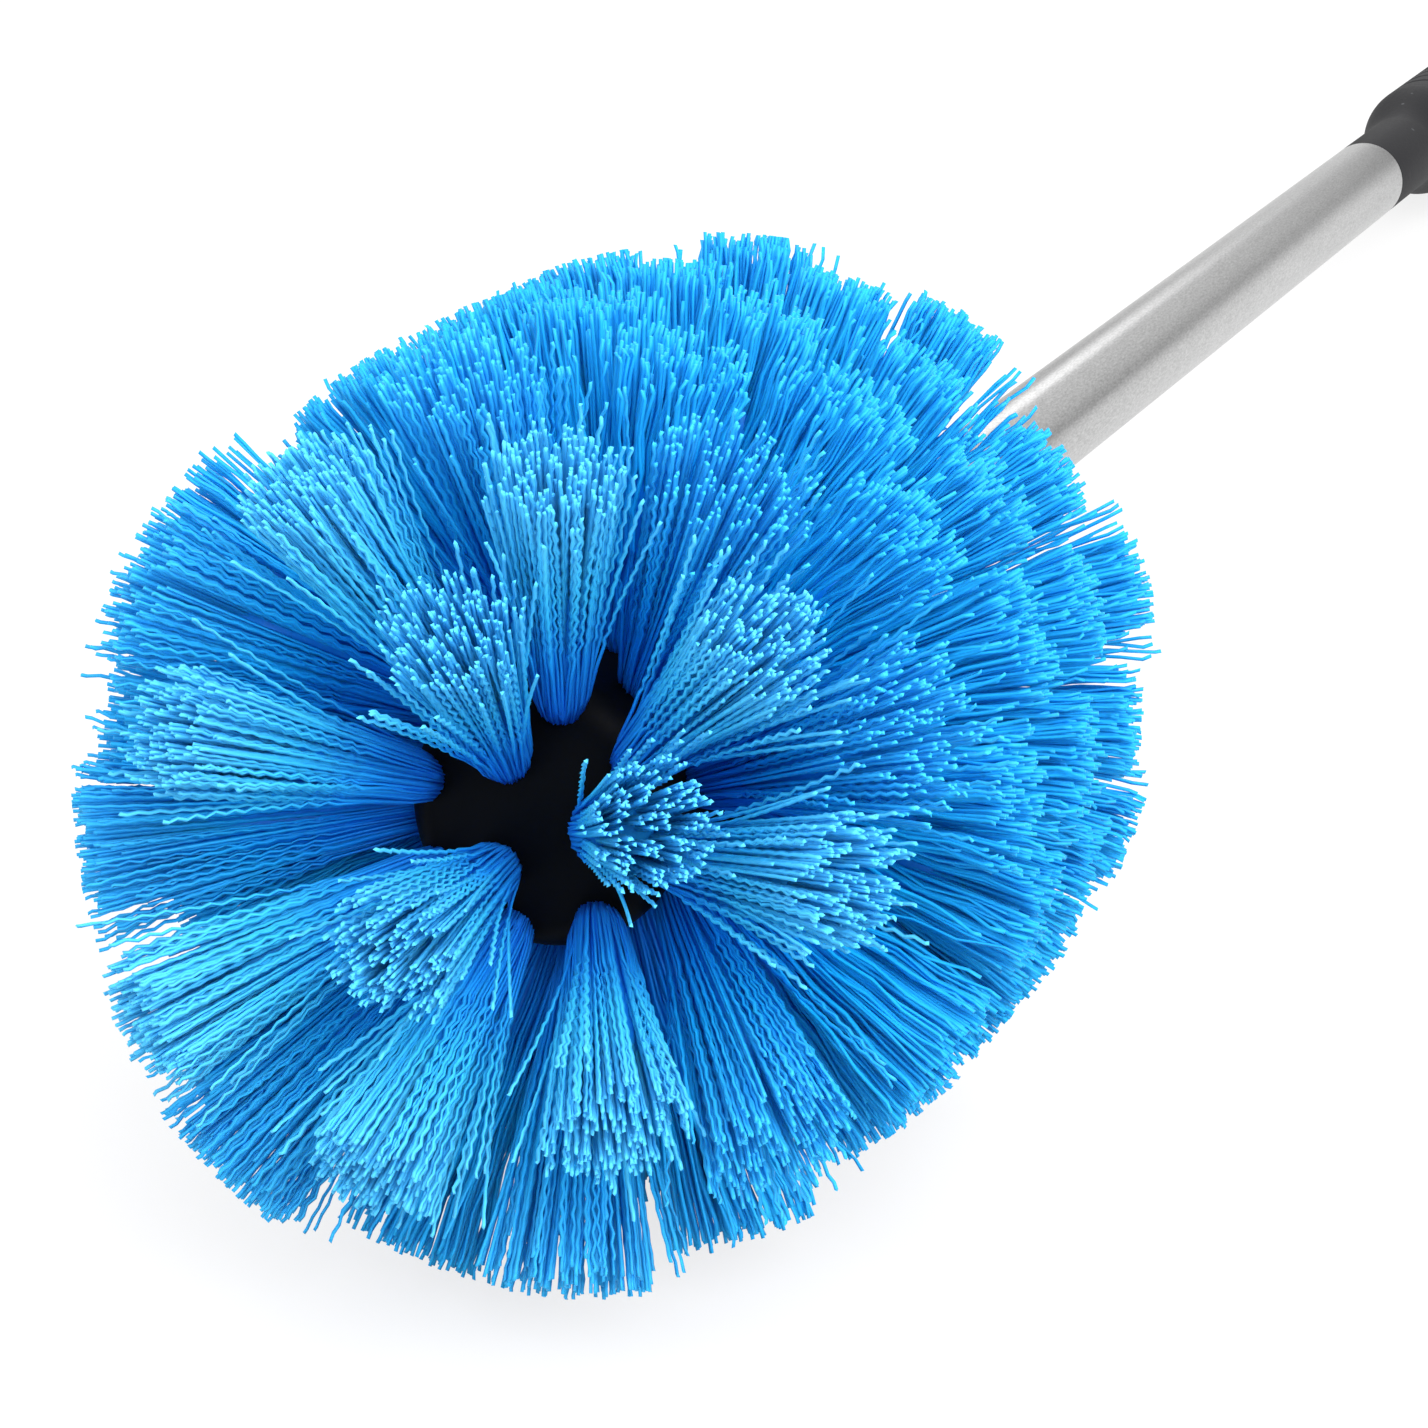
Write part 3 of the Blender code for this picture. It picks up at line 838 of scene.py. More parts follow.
def wave_spans(shape: FilamentShape, length: float) -> int:
    """Number of spans in the waved share of a filament of this length, at least three."""
    waves = length * (1.0 - shape.straight_share) / shape.wave_pitch
    return max(3, round(waves * shape.spans_per_wave))


def filament_stations(shape: FilamentShape, length: float, shift: np.ndarray) -> tuple[np.ndarray, ...]:
    """Places of the rings along each filament.

    The straight share has a few even stations. Behind it the station k of a filament lies at the
    straight share plus (k + shift) spans, where its wave has the value cos(2 pi k / spans per wave),
    so that a wave drawn in few spans still has its full height. A last station closes the tip.

    Args:
        shape: Sizes of the filaments.
        length: Usual length of the filaments.
        shift: Share of one span by which each station of each filament is moved on.

    Returns:
        Shares of length (filament, station) and values of the wave (station).
    """
    spans = wave_spans(shape, length)
    straight = np.linspace(0.0, shape.straight_share, shape.straight_spans, endpoint=False)
    number = np.arange(spans)
    waves = shape.straight_share + (number + shift) / spans * (1.0 - shape.straight_share)
    shares = np.concatenate([np.broadcast_to(straight, (len(shift), len(straight))), waves,
                             np.ones((len(shift), 1))], axis=1)
    values = np.concatenate([np.zeros(len(straight)), np.cos(2.0 * math.pi * number / shape.spans_per_wave),
                             [0.0]])
    return shares, values


def filament_paths(tuft: Tuft, shape: FilamentShape, rng: np.random.Generator) -> tuple[np.ndarray, ...]:
    """Centre lines of all filaments of a tuft.

    Filament i starts at the mouth's radius times sqrt(i/n), turned by i golden angles. With t from 0
    to 1 along it, its centre is root + direction * length * t, plus its own spoke. The spoke swells
    just above the hole and grows on to its place in the fan. A bend is added that grows with t - t
    squared, and a wave in the filament's own plane, which sets in over the first third. Inside the
    bundle the waves are lower and lie close to one plane, because the filaments nest in each other
    there. Neighbours cling together in wisps, whose tips lie closer and whose waves run side by side.

    Args:
        tuft: The tuft.
        shape: Sizes of its filaments.
        rng: Source of the differences between filaments.

    Returns:
        Points (filament, station, 3) and the shares of length (filament, station).
    """
    n = tuft.count
    rank = np.sqrt((np.arange(n) + 0.5) / n)
    turn = np.arange(n) * GOLDEN_ANGLE
    spread = rank + rng.normal(0.0, GROWTH.place_error, n)
    stray = (rng.random(n) < tuft.stray_share) & (rank > GROWTH.stray_from)
    spread = np.where(stray, rng.uniform(*GROWTH.stray_reach, n), spread)
    free = np.clip((rank - GROWTH.free_from) / GROWTH.free_over, 0.0, 1.0) + stray
    x_fan = spread * np.cos(turn) * tuft.fan_across + rng.normal(0.0, GROWTH.tip_error, n)
    y_fan = spread * np.sin(turn) * tuft.fan_along + rng.normal(0.0, GROWTH.tip_error, n)
    leader = wisp_leaders(x_fan, y_fan, n // tuft.wisp, rng)
    pull = rng.uniform(*GROWTH.cling, n) * ~stray
    x_fan = x_fan + (x_fan[leader] - x_fan) * pull
    y_fan = y_fan + (y_fan[leader] - y_fan) * pull
    shift = (GROWTH.wave_start + GROWTH.wisp_shift * rng.random((n, 1))[leader]
             + rng.uniform(0.0, GROWTH.own_shift, (n, wave_spans(shape, tuft.length))))
    t, wave = filament_stations(shape, tuft.length, shift)
    fanned = GROWTH.fanned(t)
    collar = GROWTH.collar((rank * tuft.mouth)[:, None], (rank * tuft.shoulder)[:, None], t)
    bend = rng.normal(0.0, shape.bend, (n, 2))
    x = collar * np.cos(turn)[:, None] + x_fan[:, None] * fanned + bend[:, :1] * (t ** 2 - t)
    y = collar * np.sin(turn)[:, None] + y_fan[:, None] * fanned + bend[:, 1:] * (t ** 2 - t)
    cut = GROWTH.cut_most * rng.random(n) * (rng.random(n) < GROWTH.cut_share)
    uneven = np.clip(rng.normal(0.0, tuft.ragged, n), GROWTH.shortest, GROWTH.longest)
    length = tuft.length * (1.0 + uneven - cut)
    outwards = x_fan ** 2 + y_fan ** 2
    reach = np.sqrt(np.maximum(length ** 2 - GROWTH.fan_cost * outwards, (GROWTH.least_reach * length) ** 2))
    plane = (rng.uniform(0.0, math.pi) + rng.normal(0.0, GROWTH.plane_error, n)
             + rng.uniform(0.0, math.pi, n) * (free > 0.5))
    plane = plane[leader] + rng.normal(0.0, GROWTH.wisp_error, n)
    height = shape.wave_height * rng.uniform(*GROWTH.height_range, n)
    height = height * (shape.nested_share + (1.0 - shape.nested_share) * np.minimum(free, 1.0))
    onset = np.clip(t / GROWTH.onset_place, 0.0, 1.0) ** GROWTH.onset_power
    onset = onset * rng.uniform(*GROWTH.onset_range, t.shape)
    wave = height[:, None] * onset * wave * rng.choice([-1.0, 1.0], n)[leader, None]
    x = x + wave * np.cos(plane)[:, None]
    y = y + wave * np.sin(plane)[:, None]
    return tuft.place(x, y, reach[:, None] * t), t


@dataclass(frozen=True)
class Heart:
    """Packed inside of a tuft, which lies behind its outer filaments and is coloured darker as painted shade.

    Attributes:
        shares: Shares of the tuft's length at which its width is given.
        filling: Share of the tuft's width that it fills there.
        end: Share of the tuft's length at which it closes.
        ridges: Corners round it.
        ridge_height: Share by which every second corner stands out, and the others stand in.
        shade: Factor on its shares of length, which gives it the darker colour of the ramp nearer the root,
            as painted shade inside the bundle.
        number: Number that it has in the UV map, where each filament has its own.
    """

    shares: tuple[float, ...] = (0.0, 0.04, 0.10, 0.20, 0.32, 0.44, 0.55, 0.63, 0.68, 0.70)
    filling: tuple[float, ...] = (0.92, 0.92, 0.88, 0.81, 0.75, 0.70, 0.63, 0.52, 0.36, 0.16)
    end: float = 0.71
    ridges: int = 24
    ridge_height: float = 0.05
    # Painted shade: the inside takes the darker colour from nearer the root.
    shade: float = 0.5
    number: float = 0.5

    def fill(self, tuft: Tuft) -> tuple[Grid, np.ndarray]:
        """Fill one tuft.

        The half width at the share t of the length is the tuft's collar plus its fan times
        t^fan_power, times the filling.

        Args:
            tuft: The tuft.

        Returns:
            The closed surface and the painted shade of each of its points, as a share of length.
        """
        sides = self.ridges
        t, filling = np.array(self.shares), np.array(self.filling)
        fanned = GROWTH.fanned(t)
        collar = GROWTH.collar(tuft.mouth, tuft.shoulder, t)
        angle = np.arange(sides) * 2.0 * math.pi / sides
        ridge = 1.0 + self.ridge_height * (-1.0) ** np.arange(sides)
        x = ((collar + tuft.fan_across * fanned) * filling)[:, None] * np.cos(angle) * ridge
        y = ((collar + tuft.fan_along * fanned) * filling)[:, None] * np.sin(angle) * ridge
        points = tuft.place(x, y, np.broadcast_to((t * tuft.length)[:, None], x.shape))
        along = tuft.directions()[0]
        ends = np.stack([tuft.root, tuft.root + along * tuft.length * self.end])
        index = np.arange(x.size).reshape(x.shape)
        near, far = index[:-1], index[1:]
        quads = np.stack([near, np.roll(near, -1, 1), np.roll(far, -1, 1), far], -1).reshape(-1, 4)
        first, last = index[0], index[-1]
        caps = np.concatenate([
            np.stack([np.full(sides, x.size), np.roll(first, -1), first], -1),
            np.stack([np.full(sides, x.size + 1), last, np.roll(last, -1)], -1)])
        grid = Grid(np.concatenate([points.reshape(-1, 3), ends]), quads, caps).facing_out()
        return grid, self.shade * np.concatenate([np.repeat(t, sides), [0.0, self.end]])


HEART = Heart()
FLOOR_CLEARANCE = 0.0002


@dataclass
class Bundle:
    """Faces of the filaments of some tufts, gathered before they go into one mesh.

    The UV map holds the filament's own number in U and its share of length in V.

    Attributes:
        points: Points of each group of faces.
        quads: Corners of the faces along the filaments.
        caps: Corners of their end faces.
        quad_uv: UV places of the corners in quads.
        cap_uv: UV places of the corners in caps.
        used: Number of points so far.
    """

    points: list[np.ndarray] = field(default_factory=list)
    quads: list[np.ndarray] = field(default_factory=list)
    caps: list[np.ndarray] = field(default_factory=list)
    quad_uv: list[np.ndarray] = field(default_factory=list)
    cap_uv: list[np.ndarray] = field(default_factory=list)
    used: int = 0

    def add_filaments(self, tuft: Tuft, shape: FilamentShape, rng: np.random.Generator) -> None:
        """Add the filaments of one tuft.

        Each filament is its centre line carried by a polygon: the ring point k at a station is the
        centre plus radius * (cos(a) u + sin(a) v) with a = 2 pi k / sides, where u and v lie square
        to the tuft. Both ends are closed by one face.

        Args:
            tuft: The tuft.
            shape: Sizes of its filaments.
            rng: Source of the differences between filaments.
        """
        centers, t = filament_paths(tuft, shape, rng)
        _, u, v = tuft.directions()
        (n, m), k = t.shape, shape.sides
        angle = np.arange(k) * 2.0 * math.pi / k + rng.uniform(0.0, 2.0 * math.pi, (n, 1))
        spoke = np.cos(angle)[..., None] * u + np.sin(angle)[..., None] * v
        ring = centers[:, :, None] + shape.radius * spoke[:, None]
        index = self.used + np.arange(n * m * k).reshape(n, m, k)
        near, far = index[:, :-1], index[:, 1:]
        number = rng.random(n)
        uv = np.empty((n, m - 1, k, 4, 2))
        uv[..., 0] = number[:, None, None, None]
        uv[..., :2, 1] = t[:, :-1, None, None]
        uv[..., 2:, 1] = t[:, 1:, None, None]
        ends = np.empty((2, n, k, 2))
        ends[..., 0] = number[None, :, None]
        ends[0, ..., 1] = 0.0
        ends[1, ..., 1] = 1.0
        self.points.append(ring.reshape(-1, 3))
        self.quads.append(np.stack([near, np.roll(near, -1, 2), np.roll(far, -1, 2), far], -1).reshape(-1, 4))
        self.quad_uv.append(uv.reshape(-1, 2))
        self.caps.append(np.concatenate([index[:, 0, ::-1], index[:, -1]]))
        self.cap_uv.append(ends.reshape(-1, 2))
        self.used += n * m * k

    def add_heart(self, tuft: Tuft) -> None:
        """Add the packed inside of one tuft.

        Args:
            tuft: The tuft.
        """
        heart, shade = HEART.fill(tuft)
        self.points.append(heart.points)
        for faces, face_list, uv_list in ((heart.quads, self.quads, self.quad_uv),
                                          (heart.triangles, self.caps, self.cap_uv)):
            face_list.append(self.used + faces)
            # The inside reads the ramp at its shade times its share of length: painted shade of the inside of
            # the bundle.
            uv_list.append(np.stack([np.full(faces.size, HEART.number), shade[faces.ravel()]], -1))
        self.used += len(heart.points)

    def to_mesh(self, name: str) -> bpy.types.Mesh:
        """Put all faces into one mesh, with no point under the ground.

        Args:
            name: Name of the mesh.

        Returns:
            The mesh, smooth along the filaments and flat at their cut ends.
        """
        points = np.concatenate(self.points)
        points[:, 2] = np.maximum(points[:, 2], FLOOR_CLEARANCE)
        grid = Grid(points, np.concatenate(self.quads), np.concatenate(self.caps))
        mesh = mesh_from_grid(name, grid, smooth_triangles=False)
        layer = mesh.uv_layers.new(name=FILAMENT_UV)
        uvs = np.concatenate(self.quad_uv + self.cap_uv).astype(np.float32)
        layer.data.foreach_set("uv", uvs.ravel())
        return mesh


def filament_mesh(name: str, tufts: list[Tuft], weave: Weave, seed: int) -> bpy.types.Mesh:
    """One mesh of all filaments of some tufts.

    Args:
        name: Name of the mesh.
        tufts: The tufts.
        weave: Whether the filaments are crimped or combed.
        seed: Seed of the random differences.

    Returns:
        The mesh.
    """
    rng = np.random.default_rng(seed)
    bundle = Bundle()
    for tuft in tufts:
        bundle.add_filaments(tuft, SHAPES[weave], rng)
        bundle.add_heart(tuft)
    return bundle.to_mesh(name)


# Brush

@dataclass
class Head:
    """Core of the head and its tufts."""

    core_radius: float = 0.0210
    dome_height: float = 0.0022
    edge_rounding: float = 0.0055
    edge_place: float = 0.0042
    socket_radius: float = 0.0088
    socket_bottom: float = 0.0655
    core_end: float = 0.0954
    collar_rear_radius: float = 0.0175
    collar_taper_end: float = 0.0892
    bottom_rounding: float = 0.0006
    mouth_rounding: float = 0.0005
    rear_rounding: float = 0.0012
    taper_rounding: float = 0.0020
    edge_points: int = 13
    dome_points: int = 9
    crease: float = math.radians(50.0)

    face_count: int = 3
    face_circle: float = 0.0093
    face_phase: float = math.radians(-87.0)
    face_tilt: float = math.radians(21.0)
    face_lean: float = 0.42
    face_length: float = 0.0490
    edge_count: int = 8
    edge_circle: float = 0.0180
    edge_phase: float = math.radians(-124.0)
    edge_tilt: float = math.radians(54.0)
    edge_lean: float = 0.21
    edge_length: float = 0.0534
    lean_direction: float = math.radians(-142.0)

    first_row_place: float = 0.0123
    first_row_count: int = 8
    first_row_phase: float = math.radians(-101.5)
    first_row_sweep: float = math.radians(-28.0)
    first_row_lean: float = 0.10
    first_row_length: float = 0.0545
    row_start: float = 0.0163
    row_pitch: float = 0.0116
    row_count: int = 10
    row_phase: float = math.radians(-132.0)
    row_step: float = math.radians(19.2)
    row_sweeps: tuple[float, ...] = (-8.0, -1.0, 4.0, 6.5, 9.0, 11.0)
    row_length: float = 0.0498

    front_filaments: int = 240
    first_row_filaments: int = 205
    row_filaments: int = 165
    root_sink: float = 0.0008
    front_fan: float = 0.0100
    front_flatness: float = 0.9
    first_row_fan: float = 0.0132
    row_fans: tuple[float, ...] = (0.0118, 0.0110, 0.0100, 0.0093, 0.0088, 0.0088)
    row_flatness: float = 0.8
    front_seed: int = 11
    first_row_seed: int = 40
    row_seed: int = 50
    combing: dict[str, tuple[float, float]] = field(default_factory=lambda: {
        "face_tuft_1": (-0.09, 0.07), "face_tuft_2": (0.0, 0.08), "face_tuft_3": (0.02, -0.11),
        "edge_tuft_1": (-0.12, 0.10), "edge_tuft_2": (-0.23, 0.12), "edge_tuft_3": (-0.07, 0.80),
        "edge_tuft_4": (0.10, 0.54), "edge_tuft_5": (0.01, 0.20), "edge_tuft_6": (0.14, 0.61),
        "edge_tuft_7": (0.01, 0.05), "edge_tuft_8": (-0.06, 0.06), "row_1_tuft_1": (-0.19, 0.06),
        "row_1_tuft_2": (0.16, 0.39), "row_1_tuft_3": (0.10, 0.0), "row_1_tuft_4": (0.07, 0.01),
        "row_1_tuft_6": (-0.17, 0.10), "row_1_tuft_7": (0.03, 0.02), "row_1_tuft_8": (-0.09, 0.07),
        "row_2_tuft_5": (0.05, 0.30), "row_2_tuft_6": (0.0, 0.55), "row_2_tuft_7": (0.33, 0.45),
        "row_2_tuft_8": (-0.07, -0.07), "row_3_tuft_6": (-0.01, 0.76), "row_3_tuft_7": (-0.06, 0.27),
        "row_7_tuft_8": (-0.15, -0.01)})
    trimming: dict[str, float] = field(default_factory=lambda: {
        "edge_tuft_3": -0.0030, "edge_tuft_4": -0.0030, "edge_tuft_6": -0.0030, "row_1_tuft_4": 0.0039,
        "row_1_tuft_5": -0.0005, "row_2_tuft_4": 0.0030, "row_2_tuft_5": 0.0080, "row_2_tuft_6": 0.0075,
        "row_2_tuft_7": 0.0046, "row_2_tuft_8": 0.0048, "row_3_tuft_6": 0.0028})

    # Three copies of one filament colour: the front copy lighter as painted light, the first row and the side
    # rows darker as painted shade.
    front_lit_finish: FilamentFinish = FilamentFinish(
        "filament_front_lit", root=(0.011, 0.20, 0.82), middle=(0.018, 0.40, 0.98),
        upper=(0.052, 0.62, 1.0), tip=(0.092, 0.60, 1.0))
    first_row_shaded_finish: FilamentFinish = FilamentFinish(
        "filament_first_row_shaded", root=(0.003, 0.12, 0.66), middle=(0.004, 0.28, 0.89),
        upper=(0.013, 0.46, 0.97), tip=(0.040, 0.50, 0.97))
    side_shaded_finish: FilamentFinish = FilamentFinish(
        "filament_side_shaded", root=(0.003, 0.15, 0.75), middle=(0.003, 0.29, 0.92),
        upper=(0.008, 0.46, 0.95), tip=(0.022, 0.45, 0.93))
    core_finish: MouldedFinish = MouldedFinish(
        "core_moulded_black", color=(0.0010, 0.0014, 0.0022), worn=(0.0020, 0.0026, 0.0040),
        roughness=0.50, grain_scale=1400.0, grain_height=0.00004, speck_share=0.004, gloss=0.05)

    def face_height(self, radius: float) -> float:
        """Place on the axis of the front face.

        Inside the rounded edge it is a parabola of the dome's height, and beyond that a quarter circle.

        Args:
            radius: Distance from the axis.

        Returns:
            The place s.
        """
        flat = self.core_radius - self.edge_rounding
        if radius <= flat:
            return self.edge_place - self.edge_rounding - self.dome_height * (1.0 - (radius / flat) ** 2)
        outward = min(radius - flat, self.edge_rounding)
        return self.edge_place - math.sqrt(self.edge_rounding ** 2 - outward ** 2)

    def core_profile(self) -> np.ndarray:
        """Outline of the core: its socket, rear taper, side, rounded edge and domed front face.

        Returns:
            Radius and place of each point.
        """
        rear = rounded([(0.0, self.socket_bottom, 0.0),
                        (self.socket_radius, self.socket_bottom, self.bottom_rounding),
                        (self.socket_radius, self.core_end, self.mouth_rounding),
                        (self.collar_rear_radius, self.core_end, self.rear_rounding),
                        (self.core_radius, self.collar_taper_end, self.taper_rounding),
                        (self.core_radius, self.edge_place, 0.0)])
        flat = self.core_radius - self.edge_rounding
        angle = np.linspace(0.0, math.pi / 2, self.edge_points)[1:]
        edge = np.stack([flat + self.edge_rounding * np.cos(angle),
                         self.edge_place - self.edge_rounding * np.sin(angle)], -1)
        face = np.linspace(flat, 0.0, self.dome_points)[1:]
        dome = np.stack([face, [self.face_height(r) for r in face]], -1)
        return np.concatenate([rear, edge, dome])

    def build_core(self) -> None:
        """Make the core in one piece."""
        mesh = mesh_from_grid("core_moulding", turned(self.core_profile()))
        mesh.set_sharp_from_angle(angle=self.crease)
        place_piece(mesh, self.core_finish.build(), Body.HEAD, ["brush_core", "rear_collar"])

    def trimmed(self, name: str, length: float) -> float:
        """Length of a tuft with its own small difference."""
        return length + self.trimming.get(name, 0.0)

    def combed(self, name: str, direction: np.ndarray, out: np.ndarray) -> np.ndarray:
        """Direction of a tuft once it is combed aside by its own small amounts.

        Args:
            name: Name of the tuft.
            direction: Direction in which its hole sends it.
            out: Direction away from the axis at its hole.

        Returns:
            The direction, with length one.
        """
        around, forward = self.combing.get(name, (0.0, 0.0))
        direction = direction / np.linalg.norm(direction)
        direction = direction + np.cross(AXIS.back, out) * around - AXIS.back * forward
        return direction / np.linalg.norm(direction)

    def front_tufts(self) -> Iterator[tuple[str, Tuft]]:
        """Place the tufts of the front face and of its edge.

        Yields:
            The name of each tuft and the tuft.
        """
        rings = (("face", self.face_count, self.face_circle, self.face_phase, self.face_tilt,
                  self.face_lean, self.face_length),
                 ("edge", self.edge_count, self.edge_circle, self.edge_phase, self.edge_tilt,
                  self.edge_lean, self.edge_length))
        for ring, count, circle, phase, tilt, lean, length in rings:
            for i in range(count):
                name = f"{ring}_tuft_{i + 1}"
                out = AXIS.radial(phase + 2.0 * math.pi * i / count)
                hole = out * math.sin(tilt) - AXIS.back * math.cos(tilt)
                direction = self.combed(name, hole + AXIS.radial(self.lean_direction) * lean, out)
                root = AXIS.point(self.face_height(circle)) + out * circle - hole * self.root_sink
                yield name, Tuft(root, direction, np.cross(AXIS.back, out), self.trimmed(name, length),
                                 self.front_fan, self.front_fan * self.front_flatness,
                                 self.front_filaments)

    def row_tufts(self, row: int) -> Iterator[tuple[str, Tuft]]:
        """Place the tufts of one row round the side.

        Args:
            row: Number of the row, where 1 is the first behind the nose.

        Yields:
            The name of each tuft and the tuft.
        """
        if row == 1:
            count, phase, place = self.first_row_count, self.first_row_phase, self.first_row_place
            sweep, lean, length = self.first_row_sweep, self.first_row_lean, self.first_row_length
            fan, filaments = self.first_row_fan, self.first_row_filaments
        else:
            step = row - 2
            count, place = self.row_count, self.row_start + (step + 0.5) * self.row_pitch
            phase = self.row_phase + step * self.row_step
            sweep, lean, length = math.radians(self.row_sweeps[step]), 0.0, self.row_length
            fan, filaments = self.row_fans[step], self.row_filaments
        for i in range(count):
            name = f"row_{row}_tuft_{i + 1}"
            out = AXIS.radial(phase + 2.0 * math.pi * i / count)
            direction = out * math.cos(sweep) + AXIS.back * math.sin(sweep)
            direction = self.combed(name, direction + AXIS.radial(self.lean_direction) * lean, out)
            root = AXIS.point(place) + out * (self.core_radius - self.root_sink)
            yield name, Tuft(root, direction, np.cross(AXIS.back, out), self.trimmed(name, length), fan,
                             fan * self.row_flatness, filaments)

    def build_front_tufts(self, material: bpy.types.Material) -> None:
        """Make the tufts of the front face and of its edge, one piece each.

        Args:
            material: Their finish.
        """
        for seed, (name, tuft) in enumerate(self.front_tufts(), self.front_seed):
            mesh = filament_mesh(f"{name}_filaments", [tuft], Weave.CRIMPED, seed)
            place_piece(mesh, material, Body.HEAD, [name])

    def build_first_row(self, material: bpy.types.Material) -> None:
        """Make the first row round the side, in two halves.

        Args:
            material: Its finish.
        """
        tufts = [tuft for _, tuft in self.row_tufts(1)]
        half = len(tufts) // 2
        for part, (label, group) in enumerate((("left", tufts[:half]), ("right", tufts[half:]))):
            seed = self.first_row_seed + part
            mesh = filament_mesh(f"tuft_row_1_{label}_filaments", group, Weave.CRIMPED, seed)
            place_piece(mesh, material, Body.HEAD, ["tuft_row_1"])

    def build_rows(self, material: bpy.types.Material) -> None:
        """Make the full rows round the side, one piece each.

        Args:
            material: Their finish.
        """
        for row in range(2, len(self.row_sweeps) + 2):
            tufts = [tuft for _, tuft in self.row_tufts(row)]
            mesh = filament_mesh(f"tuft_row_{row}_filaments", tufts, Weave.COMBED, self.row_seed + row)
            place_piece(mesh, material, Body.HEAD, [f"tuft_row_{row}"])

    def build(self) -> None:
        """Make the whole head."""
        self.build_core()
        self.build_front_tufts(self.front_lit_finish.build())
        self.build_first_row(self.first_row_shaded_finish.build())
        self.build_rows(self.side_shaded_finish.build())


@dataclass
class Handle:
    """Tube, grip, hanging cap, thread tip and the small hardware."""

    tube_radius: float = 0.0095
    tube_bore: float = 0.0083
    tube_start: float = 0.1018
    tube_end: float = 0.5558
    grip_start: float = 0.5561
    grip_neck_end: float = 0.5961
    grip_body_start: float = 0.6211
    grip_end: float = 0.6811
    grip_radius: float = 0.0140
    spigot_radius: float = 0.0080
    spigot_start: float = 0.5158
    cap_bore: float = 0.0063
    cap_bore_bottom: float = 0.6688

    tube_seam: tuple[float, float] = (0.3, 0.35)
    broken_edge: float = 0.0003
    bore_rounding: float = 0.0004
    end_rounding: float = 0.0030
    spigot_rounding: float = 0.0008
    end_land: float = 0.0060
    groove_land: float = 0.0062
    neck_land: float = 0.0010
    groove_count: int = 6
    groove_depth: float = 0.00045
    groove_steepness: float = 3.0
    groove_fade: float = 0.08
    body_points: int = 121
    swell_points: int = 25
    grip_steps: int = 96
    tube_crease: float = math.radians(40.0)
    grip_crease: float = math.radians(50.0)
    solid_crease: float = math.radians(32.0)

    tube_finish: MetalFinish = MetalFinish(
        "aluminium_satin_tube", color=(0.60, 0.60, 0.60), shaded=(0.32, 0.32, 0.32), roughness=0.31,
        grain_scale=2800.0, stretch=4.0, grain_height=0.000005)
    steel_finish: MetalFinish = MetalFinish(
        "steel_plated", color=(0.58, 0.58, 0.56), shaded=(0.46, 0.46, 0.45), roughness=0.34,
        grain_scale=900.0, stretch=1.0, grain_height=0.00002)
    grip_finish: MouldedFinish = MouldedFinish(
        "grip_moulded_black", color=(0.007, 0.007, 0.009), worn=(0.015, 0.015, 0.017), roughness=0.60,
        grain_scale=1100.0, grain_height=0.00010, speck_share=0.01)
    tip_finish: MouldedFinish = MouldedFinish(
        "tip_moulded_black", color=(0.008, 0.008, 0.010), worn=(0.014, 0.014, 0.016), roughness=0.50,
        grain_scale=1500.0, grain_height=0.00005, speck_share=0.0)

    def build_tube(self) -> None:
        """Make the tube with lightly broken edges."""
        edge = self.broken_edge
        corners = [(self.tube_bore, self.tube_seam[0], 0.0), (self.tube_bore, self.tube_start, edge),
                   (self.tube_radius, self.tube_start, edge), (self.tube_radius, self.tube_end, edge),
                   (self.tube_bore, self.tube_end, edge), (self.tube_bore, self.tube_seam[1], 0.0)]
        mesh = mesh_from_grid("handle_tube_satin", turned(rounded(corners, 3)))
        mesh.set_sharp_from_angle(angle=self.tube_crease)
        place_piece(mesh, self.tube_finish.build(), Body.HANDLE, ["handle_tube"])

    def grip_profile(self) -> np.ndarray:
        """Outline of the grip: bore, rounded end, shallow grooved body, swell, neck and spigot.

        With u from 0 to 1 along the body and k for the steepness, a groove is as deep as its depth
        times k cos(2 pi count u) - (k - 1), where that is above zero, and the grooves fade out at both
        ends of the body. The swell follows u^2 (3 - 2 u) along its own length.

        Returns:
            Radius and place of each point.
        """
        rear = rounded([(0.0, self.cap_bore_bottom, 0.0),
                        (self.cap_bore, self.cap_bore_bottom, self.bore_rounding),
                        (self.cap_bore, self.grip_end, self.bore_rounding),
                        (self.grip_radius, self.grip_end, self.end_rounding),
                        (self.grip_radius, self.grip_end - self.end_land, 0.0)], 6)
        body_end = self.grip_end - self.groove_land
        body = np.linspace(body_end, self.grip_body_start, self.body_points)
        share = (body - self.grip_body_start) / (body_end - self.grip_body_start)
        wave = np.cos(2.0 * math.pi * self.groove_count * share)
        groove = np.clip(wave * self.groove_steepness - (self.groove_steepness - 1.0), 0.0, 1.0)
        fade = (np.clip(share / self.groove_fade, 0.0, 1.0)
                * np.clip((1.0 - share) / self.groove_fade, 0.0, 1.0))
        side = np.stack([self.grip_radius - self.groove_depth * groove * fade, body], -1)
        swell = np.linspace(1.0, 0.0, self.swell_points)[1:]
        ease = swell * swell * (3.0 - 2.0 * swell)
        waist = np.stack([self.tube_radius + (self.grip_radius - self.tube_radius) * ease,
                          self.grip_neck_end + (self.grip_body_start - self.grip_neck_end) * swell], -1)
        front = rounded([(self.tube_radius, self.grip_neck_end - self.neck_land, 0.0),
                         (self.tube_radius, self.grip_start, self.broken_edge),
                         (self.spigot_radius, self.grip_start, 0.0),
                         (self.spigot_radius, self.spigot_start, self.spigot_rounding),
                         (0.0, self.spigot_start, 0.0)], 3)
        return np.concatenate([rear, side, waist, front])

    def build_grip(self) -> None:
        """Make the grip."""
        mesh = mesh_from_grid("grip_moulding", turned(self.grip_profile(), self.grip_steps))
        mesh.set_sharp_from_angle(angle=self.grip_crease)
        place_piece(mesh, self.grip_finish.build(), Body.HANDLE, ["grip"])

